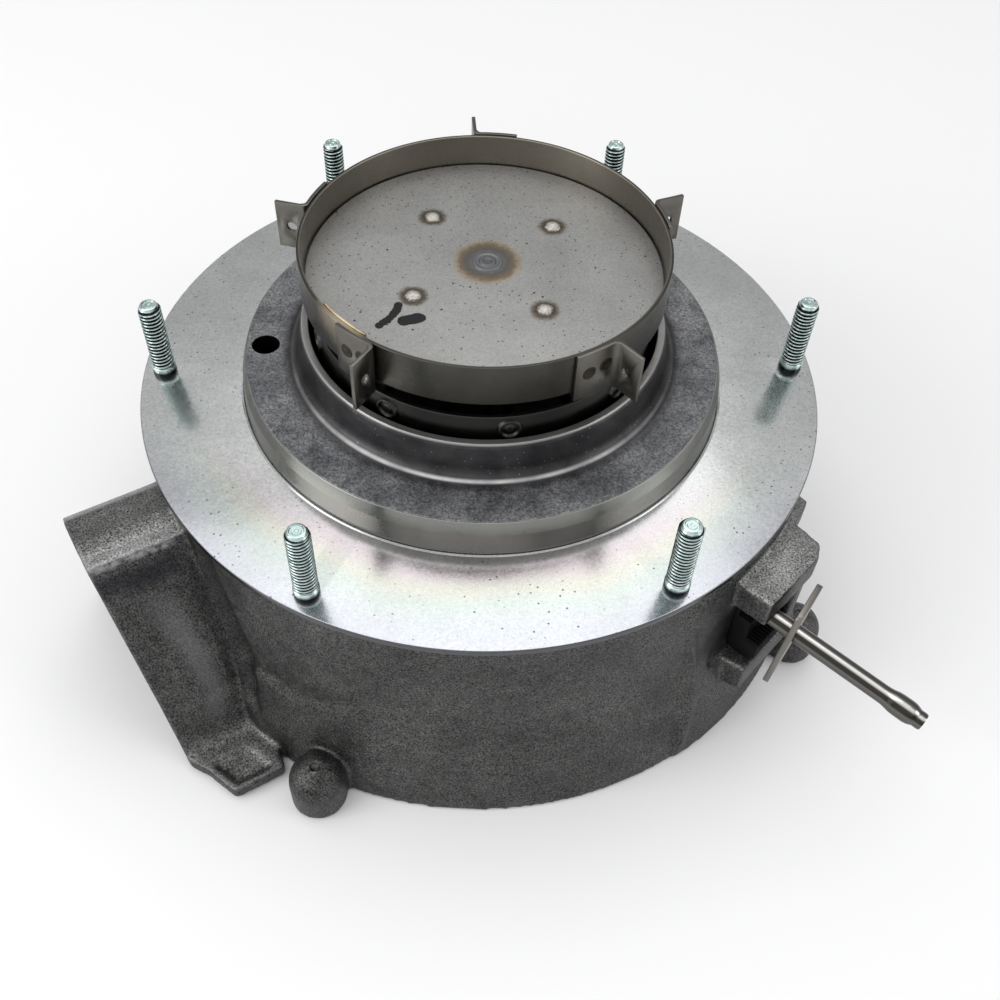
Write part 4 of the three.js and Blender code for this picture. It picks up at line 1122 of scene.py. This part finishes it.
def stud():
    """Rolled thread with a plain collar at its foot and a stepped tip."""
    turns = 40
    rows = [(0, 58.4, 0), (2.5, 58.4, 0), (STUD_R, 59, 0), (STUD_R, 69.9, 0),
            (STUD_COLLAR_R, 70.02, 0), (STUD_COLLAR_R, 72.3, 0), (3.1, 72.6, 0), (2.6, 72.85, 0)]
    tip = STUD_TOP_Z
    rows += [(None, z, 1) for z in np.arange(73.0, tip - 0.95, 0.11)]
    rows += [(2.5, tip - 0.8, 0), (2.42, tip - 0.65, 0), (2.36, tip - 0.2, 0), (2.15, tip, 0),
             (1.8, tip, 0), (1.6, tip - 0.35, 0), (1.25, tip - 0.35, 0), (1.1, tip - 0.05, 0),
             (0.55, tip - 0.05, 0), (0.4, tip - 0.3, 0), (0, tip - 0.32, 0)]
    verts, rings = [], []
    for r, z, threaded in rows:
        if r == 0:
            rings.append([len(verts)] * turns)
            verts.append((0, 0, z))
            continue
        rings.append(list(range(len(verts), len(verts) + turns)))
        for k in range(turns):
            angle = 2 * math.pi * k / turns
            radius = r
            if threaded:
                phase = ((z - 73) / PITCH - angle / (2 * math.pi)) % 1.0
                depth = min(1.0, max(0.0, abs(phase - 0.5) * 4.4 - 0.4))
                fade = min(1.0, (z - 72.8) / 0.9)
                crest = min(STUD_CREST_R, 2.5 + (92.85 - z) * 0.9)
                radius = min(crest, STUD_CREST_R - 0.62 * depth * fade)
            verts.append((radius * math.cos(angle), radius * math.sin(angle), z))
    faces = []
    for low, high in zip(rings, rings[1:]):
        for k in range(turns):
            n = (k + 1) % turns
            face = []
            for v in (low[k], low[n], high[n], high[k]):
                if v not in face:
                    face.append(v)
            faces.append(face)
    piece = make("stud", verts, faces, 50)
    # Mask for the painted shade: how deep each vertex sits in the thread, and 1 on the foot below z 70.5.
    values = []
    for vertex in piece.data.vertices:
        x, y, z = vertex.co / MM
        depth = (STUD_CREST_R - math.hypot(x, y)) / 0.62
        foot = 1.0 if z < 70.5 else 0.0
        threaded = 72.8 < z < STUD_TOP_Z - 0.95
        values.append(min(1.0, max(0.0, depth)) if threaded else foot)
    valley = piece.data.attributes.new("painted_thread_shade", "FLOAT", "POINT")
    valley.data.foreach_set("value", values)
    return piece


several(stud(), "flange_stud",
        [(i + 1, polar(STUD_CIRCLE_R, az), az * 3.7) for i, az in enumerate(STUD_AZ)],
        fastener)

# ---- flame holder ------------------------------------------------------------------------------

FOOT_R = 59


def arc_wall(name, inner, outer, bottom, top, start, end, edge=0.15):
    return slab(name, sector(inner, outer, start, end, 48), bottom, top, edge, 2)


sleeve = lathe("sleeve_shell", [
    (SLEEVE_R - 1, SLEEVE_FOOT_Z), (FOOT_R, SLEEVE_FOOT_Z), (FOOT_R, SLEEVE_FOOT_Z + 1.3, 0.2),
    (SLEEVE_R, SLEEVE_FOOT_Z + 1.3, 0.8), (SLEEVE_R, SLEEVE_TOP_Z, 0.3),
    (SLEEVE_R - 1, SLEEVE_TOP_Z, 0.3)], 200)
carve(sleeve, *[move(rod("hole", 1.8, SLEEVE_FOOT_Z - 1, SLEEVE_FOOT_Z + 2, 24),
                     polar(SLEEVE_SCREW_R, az)) for az in SLEEVE_SCREW_AZ],
      move(rod("hole", 5, SLEEVE_FOOT_Z - 1, SLEEVE_FOOT_Z + 2, 48), (-59.5, -6.2, 0)))
dress(sleeve, sleeve_steel, replaces=["diffuser_sleeve"])

clinch = lathe("clinch", [(0, 0.3), (0.9, 0.36, 0.2), (1.3, 0.1), (1.9, 0.1), (2.3, 0.75, 0.2),
                          (2.9, 0.75, 0.3), (3.4, -0.4), (0, -0.4)], 48)
clinch.data.transform(Matrix.Rotation(math.pi / 2, 4, "Y"))
for i in range(9):
    mark = move(move(copy(clinch, f"sleeve_clinch_{i + 1}"), (SLEEVE_R, 0, 91.9)), az=40 * i - 79)
    dress(mark, sleeve_steel)
bpy.data.objects.remove(clinch)

pan_screw = lathe("pan", [(0, 0), (2.6, 0, 0.4), (3, 0.7, 0.3), (3, 1.6, 0.1), (1.5, 1.6),
                          (1.5, 5, 0.3), (0, 5)], 40)
carve(pan_screw, hexagon(1.1, -0.5, 0.9))
pan_up = copy(pan_screw, "pan_up")
pan_up.data.transform(Matrix.Rotation(math.pi, 4, "X"))
pan_motor = copy(pan_up, "pan_motor")
several(pan_screw, "sleeve_screw",
        [(i + 1, polar(SLEEVE_SCREW_R, az, SLEEVE_FOOT_Z - 1.6 - GAP), az)
         for i, az in enumerate(SLEEVE_SCREW_AZ)], fastener)

SWIRL_Z = 82
CUP_R = 9
swirl = lathe("swirl_vanes", [(CUP_R + GAP, SWIRL_Z), (SLEEVE_R - 1 - GAP, SWIRL_Z, 0.2),
                              (SLEEVE_R - 1 - GAP, SWIRL_Z + 1, 0.2),
                              (CUP_R + GAP, SWIRL_Z + 1, 0.2)], 128)
carve(swirl, *[move(box("slot", (16, 6.5, SWIRL_Z - 1), (38, 9.5, SWIRL_Z + 2)), az=30 * k)
               for k in range(12)])
shade(swirl, 30)
dress(swirl, sleeve_steel, replaces=["swirl_plate"])
cup = lathe("fuel_spinner", [
    (PIPE_R + GAP, 78, 0.2), (CUP_R - 3, 78, 0.8), (CUP_R, 81.7, 0.6), (CUP_R, 90, 0.3),
    (CUP_R - 1.2, 90, 0.3), (CUP_R - 1.2, 83.4, 0.5), (PIPE_R + GAP, 81.4, 0.2)], 64)
dress(cup, stainless, replaces=["fuel_cup"])


def baffle_star():
    under = DISC_Z - GAP
    star = rod("star", 11, under - 1.2, under, 48)
    for az in (45, 135, 225, 315):
        profile = [(6, under - 1.2), (28, under - 1.2), (40, SWIRL_Z + 1.3), (43, SWIRL_Z + 1.3),
                   (43, SWIRL_Z + 2.6), (41, SWIRL_Z + 2.6), (29, under), (6, under)]
        leg = slab("leg", profile, -4, 4)
        leg.data.transform(Matrix.Rotation(math.pi / 2, 4, "X"))
        weld(star, move(leg, az=az))
    return bevel(star, 0.2)


dress(baffle_star(), stainless, replaces=["baffle_support"]).name = "baffle_star"

plate = lathe("baffle_plate", [
    (0, DISC_Z), (DISC_R - 0.6, DISC_Z), (DISC_R, DISC_Z + 0.2, 0.2), (DISC_R, DISC_TOP, 0.35),
    (0, DISC_TOP)], 200)
dress(plate, disc_steel, replaces=["baffle_disc"])

weld_pip = lathe("pip", [(0, -0.1), (2.6, -0.1), (2.3, 0.12, 0.3), (1.5, 0.5, 0.4),
                         (0.6, 0.62, 0.2), (0, 0.6)], 40)
for i, (x, y) in enumerate(DISC_WELDS):
    dress(move(copy(weld_pip, f"disc_weld_{i + 1}"), (x, y, DISC_TOP)), disc_steel)
bpy.data.objects.remove(weld_pip)
centre = move(lathe("disc_weld_centre", [
    (0, -0.1), (4.1, -0.1), (3.9, 0.16, 0.1), (3.3, 0.22, 0.1), (2.9, 0.05, 0.1), (2.3, 0.05, 0.1),
    (2.0, 0.35, 0.15), (1.3, 0.4, 0.15), (0.9, 0.12, 0.1), (0, 0.1)], 64), (0.5, 2, DISC_TOP))
dress(centre, disc_steel)

ring_mid = (RING_BOTTOM_Z + RING_TOP_Z) / 2
ring = lathe("burner_band", [
    (RING_R - 1, RING_BOTTOM_Z, 0.3), (RING_R, RING_BOTTOM_Z, 0.3), (RING_R, RING_TOP_Z, 0.3),
    (RING_R - 1, RING_TOP_Z, 0.3)], 240)
dress(ring, ring_steel, replaces=["burner_ring"])


def bracket():
    """Bent sheet bracket: a welded foot, a small bend, and a drilled ear."""
    t, inner = 1.0, RING_R + 0.05
    outline = [polar(inner, a)[:2] for a in np.linspace(-14.5, -1.6, 8)]
    outline += [(inner + 0.15, -0.95), (inner + 0.9, -0.1), (inner + 1.8, 0.0), (57, 0.0)]
    outline += [(57, -t), (inner + 2.2, -t), (inner + t + 0.35, -t - 0.4)]
    outline += [polar(inner + t, a)[:2] for a in np.linspace(-2.2, -14.5, 8)]
    piece = slab("bracket", outline, 101.0, RING_TOP_Z + 0.25)
    hole = rod("hole", 1.4, -3, 3, 32)
    hole.data.transform(Matrix.Translation(Vector((52.9, -0.5, 107.7)) * MM)
                        @ Matrix.Rotation(math.pi / 2, 4, "X"))
    carve(piece, hole)
    bevel(piece, 0.16, 2, 40)
    return piece


def bracket_steel():
    m_tint = heat_spots([])
    return sheet_steel("bracket_steel", (0.16, 0.153, 0.138), 0.32, 0.4, m_tint)


several(bracket(), "ring_bracket",
        [(i + 1, (0, 0, 0), az) for i, az in enumerate(BRACKET_AZ)],
        bracket_steel())

spot = lathe("spot", [(0, 0.03), (1.1, 0.03), (1.35, 0.14, 0.08), (1.7, 0.14, 0.08), (1.95, -0.1),
                      (0, -0.1)], 32)
spot.data.transform(Matrix.Rotation(math.pi / 2, 4, "Y"))
burnt = sheet_steel("burnt_weld", (0.05, 0.042, 0.036), 0.4, 0.4)
for i, az in enumerate(BRACKET_AZ):
    for k, (shift, height) in enumerate(((-4.6, 109.4), (-10.2, 108.8))):
        mark = move(move(copy(spot, f"bracket_weld_{i + 1}_{k + 1}"), (RING_R + 1.06, 0, height)),
                    az=az + shift)
        dress(mark, burnt)
bpy.data.objects.remove(spot)

seam = arc_wall("band_lap", RING_R - 1.75, RING_R - 1.05, RING_TOP_Z - 9, RING_TOP_Z + 0.3, 217,
                236, 0.12)
dress(seam, ring_steel)

# ---- fuel pipe, plate and port grommet ---------------------------------------------------------

def bezier(points, steps):
    points = [np.array(p, float) for p in points]
    out = []
    for t in np.linspace(0, 1, steps + 1)[1:]:
        layer = points
        while len(layer) > 1:
            layer = [a * (1 - t) + b * t for a, b in zip(layer, layer[1:])]
        out.append(layer[0])
    return out


def pipe_path():
    over = polar(70, PIPE_AZ - 4, 60.4)
    path = [along(s) for s in np.linspace(PIPE_STICKOUT, -22, 120)]
    path += bezier([along(-22), along(-29), polar(80, PIPE_AZ - 3, 60.4), over], 24)
    path += bezier([over, (7, -5, 60.4)], 30)
    path += bezier([(7, -5, 60.4), (0, 0, 60.4), (0, 0, 68)], 10)
    path += bezier([(0, 0, 68), (0, 0, 80.5)], 12)
    return path


def pipe_radius(i):
    """Outer radius, with the swaged hose bead and a rounded tip near the free end."""
    s = PIPE_STICKOUT - i * (PIPE_STICKOUT + 22) / 119
    if i >= 120:
        return PIPE_R
    bead = [(-22, PIPE_R), (24.6, PIPE_R), (25.6, 2.55), (27.6, 2.95), (29, HOSE_BEAD_R),
            (31.6, HOSE_BEAD_R), (32.8, 2.9), (33.6, 2.55), (34.0, 2.38), (35.5, 2.38), (36, 2.2)]
    return float(np.interp(s, [b[0] for b in bead], [b[1] for b in bead]))


pipe = tube("fuel_pipe_tube", pipe_path(), pipe_radius)


carve(pipe, along_pipe(rod("bore", PIPE_BORE_R, -40, 5, 32), PIPE_STICKOUT))
shade(pipe, 40)
dress(pipe, pipe_steel, replaces=["fuel_pipe"])

pipe_plate = slab("pipe_plate", rounded([(-14.5, -7, 2), (17.5, -7, 2), (17.5, 7, 2),
                                         (-14.5, 7, 2)]), -0.8, 0.8)
pipe_plate.data.transform(Matrix.Rotation(math.radians(PIPE_PLATE_YAW), 4, "Y")
                          @ Matrix.Rotation(math.radians(PIPE_PLATE_PITCH), 4, "X"))
carve(pipe_plate, rod("hole", PIPE_R + 0.2, -3, 3, 32))
bevel(pipe_plate, 0.2)
dress(along_pipe(pipe_plate, PIPE_PLATE_SHIFT), stainless,
      replaces=["fuel_pipe_plate"])

near, far = PORT_NEAR + GAP, PORT_FAR - GAP
grommet = box("grommet", (91, near, SILL_Z + 2.3), (96, far, SHELF_UNDER_Z - 1.3))
weld(grommet, box("face", (95.5, near, SILL_Z + 0.3), (100, far, 45)),
     box("lip", (99, near, SILL_Z + 0.3), (103.2, far, 37)),
     *[box("rib", (99.6, near + 0.4 + i * 1.1, 31), (103.9, near + 0.95 + i * 1.1, 37.75))
       for i in range(13)])
bevel(grommet, 0.2, 2)
move(grommet, az=PORT_AZ)
carve(grommet, along_pipe(rod("hole", PIPE_R + GAP, -40, 20, 32), 0))
shade(grommet, 40)
dress(grommet, rubber, replaces=["port_grommet"]).name = "port_seal"

# ---- inlet partition ---------------------------------------------------------------------------

partition = lathe("partition_sheet", [
    (38, PARTITION_Z + 3.4, 0.2), (39.2, PARTITION_Z + 3.4, 0.2),
    (39.2, PARTITION_Z + PARTITION_T, 0.8), (90, PARTITION_Z + PARTITION_T, 0.3),
    (90, PARTITION_Z, 0.3), (38, PARTITION_Z, 1.2)], 160)
carve(partition, *[move(rod("hole", 1.8, PARTITION_Z - 1, PARTITION_Z + 3, 24),
                        polar(PARTITION_SCREW_R, az)) for az in PARTITION_SCREW_AZ])
dress(partition, zinc_sheet, replaces=["inlet_partition"])
several(pan_up, "partition_screw",
        [(i + 1, polar(PARTITION_SCREW_R, az, PARTITION_Z + PARTITION_T + GAP + 1.6), az)
         for i, az in enumerate(PARTITION_SCREW_AZ)], fastener)

# ---- motor -------------------------------------------------------------------------------------

MOTOR_R = 28
BASE_Z = COVER_T + GAP
CAN_TOP_Z = 34
STATOR_BOTTOM_Z = 15
STATOR_TOP_Z = 25

base = lathe("motor_foot", [
    (4.5, BASE_Z), (38, BASE_Z, 0.2), (38, BASE_Z + 3, 0.6), (12.5, BASE_Z + 3, 0.8),
    (12.5, BASE_Z + 8.5, 0.4), (9.8, BASE_Z + 8.5, 0.2), (9.8, BASE_Z + 2),
    (4.5, BASE_Z + 2, 0.2)], 96)
carve(base, *[move(rod("hole", 1.8, 0, 10, 24), polar(MOTOR_SCREW_R, az))
              for az in MOTOR_SCREW_AZ])
dress(base, cast, replaces=["motor_base"])
several(pan_motor, "motor_screw",
        [(i + 1, polar(MOTOR_SCREW_R, az, BASE_Z + 3 + GAP + 1.6), az)
         for i, az in enumerate(MOTOR_SCREW_AZ)], fastener)

can = lathe("motor_shell", [
    (MOTOR_R - 1.2, BASE_Z + 3.3), (MOTOR_R, BASE_Z + 3.3, 0.2), (MOTOR_R, CAN_TOP_Z, 1.1),
    (4.5, CAN_TOP_Z, 0.3), (4.5, CAN_TOP_Z - 1.5), (9.8, CAN_TOP_Z - 1.5), (9.8, CAN_TOP_Z - 6),
    (12, CAN_TOP_Z - 6, 0.3), (12, CAN_TOP_Z - 1.5, 0.5), (MOTOR_R - 1.2, CAN_TOP_Z - 1.5, 0.5),
], 96)
dress(can, zinc_sheet, replaces=["motor_can"])

stator = lathe("stator", [
    (23.4, STATOR_BOTTOM_Z), (MOTOR_R - 1.5, STATOR_BOTTOM_Z, 0.1),
    (MOTOR_R - 1.5, STATOR_TOP_Z, 0.1), (23.4, STATOR_TOP_Z)], 72)
for k in range(6):
    tooth = box("tooth", (16, -2.4, STATOR_BOTTOM_Z), (24.5, 2.4, STATOR_TOP_Z))
    shoe = slab("shoe", sector(15.4, 17, -24, 24), STATOR_BOTTOM_Z, STATOR_TOP_Z)
    weld(stator, move(tooth, az=60 * k), move(shoe, az=60 * k))
shade(stator, 30)
dress(stator, iron, replaces=["stator_core"])

coil = box("coil", (17.4, -4.6, STATOR_BOTTOM_Z - 2.2), (22.2, 4.6, STATOR_TOP_Z + 2.2), 1.1, 3)
carve(coil, box("core", (16, -2.7, STATOR_BOTTOM_Z - GAP), (24, 2.7, STATOR_TOP_Z + GAP)))
several(coil, "stator_coil", [(k + 1, (0, 0, 0), 60 * k) for k in range(6)],
        copper)

driver = lathe("driver_board", [(13.2, 10.2), (26, 10.2, 0.1), (26, 11.4, 0.1), (13.2, 11.4)], 72)
carve(driver, box("notch", (-4, 22, 9), (4, 30, 13)))
dress(driver, board, replaces=["motor_board"])

# ---- shaft, rotor and bearings -----------------------------------------------------------------

shaft = lathe("shaft", [
    (0, 6.4), (SHAFT_R, 6.4, 0.4), (SHAFT_R, BACKPLATE_Z + 1.4, 0.1),
    (SHAFT_R - 0.5, BACKPLATE_Z + 1.4), (SHAFT_R - 0.5, SHAFT_TOP_Z, 0.4), (0, SHAFT_TOP_Z)], 48)
dress(shaft, bearing_steel, "rotor", ["motor_shaft"])
core = lathe("core", [(SHAFT_R + GAP, 14.6), (11, 14.6, 0.2), (11, 25.4, 0.2),
                      (SHAFT_R + GAP, 25.4)], 48)
dress(core, iron, "rotor", ["rotor_core"])
magnet = lathe("magnet", [(11 + GAP, 14.6), (14.8, 14.6, 0.3), (14.8, 25.4, 0.3),
                          (11 + GAP, 25.4)], 72)
dress(magnet, iron, "rotor", ["rotor_magnet"])


def bearing(name, bottom, height, cage_body):
    top = bottom + height
    middle = bottom + height / 2
    groove = [(0.9, middle - 1.1), (1.25, middle), (0.9, middle + 1.1)]
    outer = lathe(f"{name}_outer", [(8, bottom, 0.2), (9.5, bottom, 0.3), (9.5, top, 0.3),
                                    (8, top, 0.2), (8.0, middle + 0.9, 0), (8.12, middle, 0),
                                    (8.0, middle - 0.9, 0)], 72)
    dress(outer, bearing_steel, replaces=[f"{name}_outer_race"])
    inner = lathe(f"{name}_inner", [(SHAFT_R + GAP, bottom, 0.2), (4.8, bottom, 0.2),
                                    (4.8, middle - 0.9, 0), (4.7, middle, 0),
                                    (4.8, middle + 0.9, 0), (4.8, top, 0.2),
                                    (SHAFT_R + GAP, top, 0.2)], 72)
    dress(inner, bearing_steel, "rotor", [f"{name}_inner_race"])
    cage = lathe(f"{name}_cage", [(5.9, middle - 0.5, 0.1), (6.9, middle - 0.5, 0.1),
                                  (6.9, middle + 0.5, 0.1), (5.9, middle + 0.5, 0.1)], 72)
    balls = []
    for k in range(7):
        section = [(1.25 * math.cos(a), 1.25 * math.sin(a))
                   for a in np.linspace(-math.pi / 2 + 1e-6, math.pi / 2 - 1e-6, 15)]
        section[0], section[-1] = (0, -1.25), (0, 1.25)
        ball = lathe("ball", section, 24, steps=1)
        balls.append(move(ball, polar(6.4, 360 * k / 7, middle)))
    weld(cage, *balls)
    shade(cage, 40)
    dress(cage, bearing_steel, cage_body, [f"{name}_ball_cage"])


bearing("lower_bearing", BASE_Z + 2 + GAP, 6, "lower_cage")
bearing("upper_bearing", CAN_TOP_Z - 1.5 - GAP - 5, 5, "upper_cage")

# ---- impeller ----------------------------------------------------------------------------------


def blade():
    outline = []
    steps = 10
    for offset, order in ((0, range(steps + 1)), (2, range(steps, -1, -1))):
        for i in order:
            r = IMPELLER_EYE_R + 1 + (IMPELLER_R - 2 - IMPELLER_EYE_R) * i / steps
            outline.append(polar(r, offset - 30 * i / steps)[:2])
    return slab("blade", outline, SHROUD_Z + 0.5, BACKPLATE_Z + 0.5)


wheel = lathe("fan_wheel", [
    (SHAFT_R + GAP, 43), (9, 43, 0.4), (10, BACKPLATE_Z - 4, 1), (16, BACKPLATE_Z, 2),
    (IMPELLER_R, BACKPLATE_Z, 0.3), (IMPELLER_R, BACKPLATE_Z + 1.5, 0.3),
    (SHAFT_R + GAP, BACKPLATE_Z + 1.5)], 120)
shroud = lathe("shroud", [(IMPELLER_EYE_R, SHROUD_Z, 0.3), (IMPELLER_R, SHROUD_Z, 0.3),
                          (IMPELLER_R, SHROUD_Z + 1.2, 0.3),
                          (IMPELLER_EYE_R, SHROUD_Z + 1.2, 0.3)], 120)
weld(wheel, shroud, *[move(blade(), az=360 * k / BLADES) for k in range(BLADES)])
shade(wheel, 35)
dress(wheel, nylon, "rotor", ["impeller"])

nut = slab("wheel_nut", [polar(4.2, 60 * k) for k in range(6)], BACKPLATE_Z + 1.5 + GAP,
           SHAFT_TOP_Z - 0.3)
carve(nut, rod("hole", SHAFT_R - 0.5 + GAP, 50, 62, 32))
bevel(nut, 0.2)
dress(nut, fastener, "rotor", ["impeller_nut"])

# ---- floor, light and camera -------------------------------------------------------------------

floor_mesh = bpy.data.meshes.new("floor")
floor_mesh.from_pydata([(-6, -6, -0.0005), (6, -6, -0.0005), (6, 6, -0.0005), (-6, 6, -0.0005)],
                       [], [(0, 1, 2, 3)])
floor = bpy.data.objects.new("floor", floor_mesh)
scene.collection.objects.link(floor)
paper = Nodes("studio_floor", Roughness=0.9)
paper.set("Base Color", paper.mix(paper.noise(400, 2, 0.5), (0.86, 0.86, 0.865, 1),
                                  (0.9, 0.9, 0.9, 1)))
floor_mesh.materials.append(paper.material)


def area_light(name, position, aim, size, power, color=(1, 1, 1)):
    lamp = bpy.data.lights.new(name, "AREA")
    lamp.shape = "RECTANGLE"
    lamp.size, lamp.size_y = size
    lamp.energy = power
    lamp.color = color
    holder = bpy.data.objects.new(name, lamp)
    scene.collection.objects.link(holder)
    holder.location = position
    direction = Vector(aim) - Vector(position)
    holder.rotation_euler = direction.to_track_quat("-Z", "Y").to_euler()
    return holder


area_light("overhead", (-0.1, 0.3, 1.3), (0, 0, 0.05), (1.4, 1.0), 4.8)
area_light("left_fill", (-1.0, -0.5, 0.6), (0, 0, 0.05), (0.7, 0.9), 6.5)
area_light("right_fill", (1.0, -0.3, 0.5), (0, 0, 0.05), (0.5, 0.7), 2.2)
area_light("front_fill", (-0.2, -1.4, 0.9), (0, 0, 0.05), (1.6, 0.8), 3.4)

world = bpy.data.worlds.new("studio")
scene.world = world
world.use_nodes = True
tree = world.node_tree
background = tree.nodes["Background"]
geometry = tree.nodes.new("ShaderNodeTexCoord")
split = tree.nodes.new("ShaderNodeSeparateXYZ")
ramp = tree.nodes.new("ShaderNodeValToRGB")
tree.links.new(geometry.outputs["Generated"], split.inputs[0])
tree.links.new(split.outputs["Z"], ramp.inputs["Fac"])
stops = ((0.0, 0.8), (0.3, 0.38), (0.62, 0.46), (0.8, 0.8), (1.0, 0.95))
elements = ramp.color_ramp.elements
while len(elements) < len(stops):
    elements.new(0.5)
for element, (position, value) in zip(elements, stops):
    element.position = position
    element.color = (value, value, value * 1.01, 1)
tree.links.new(ramp.outputs["Color"], background.inputs["Color"])
background.inputs["Strength"].default_value = 1.0

camera_data = bpy.data.cameras.new("camera")
camera_data.sensor_width = 36
camera_data.lens = 39.83
camera_data.clip_start = 0.01
camera = bpy.data.objects.new("camera", camera_data)
scene.collection.objects.link(camera)
look = Matrix((
    (0.9986, -0.0537, 0.0016, 0.0076),
    (0.0421, 0.7643, -0.6435, -0.2321),
    (0.0333, 0.6426, 0.7655, 0.2879),
    (0, 0, 0, 1)))
camera.matrix_world = look
scene.camera = camera
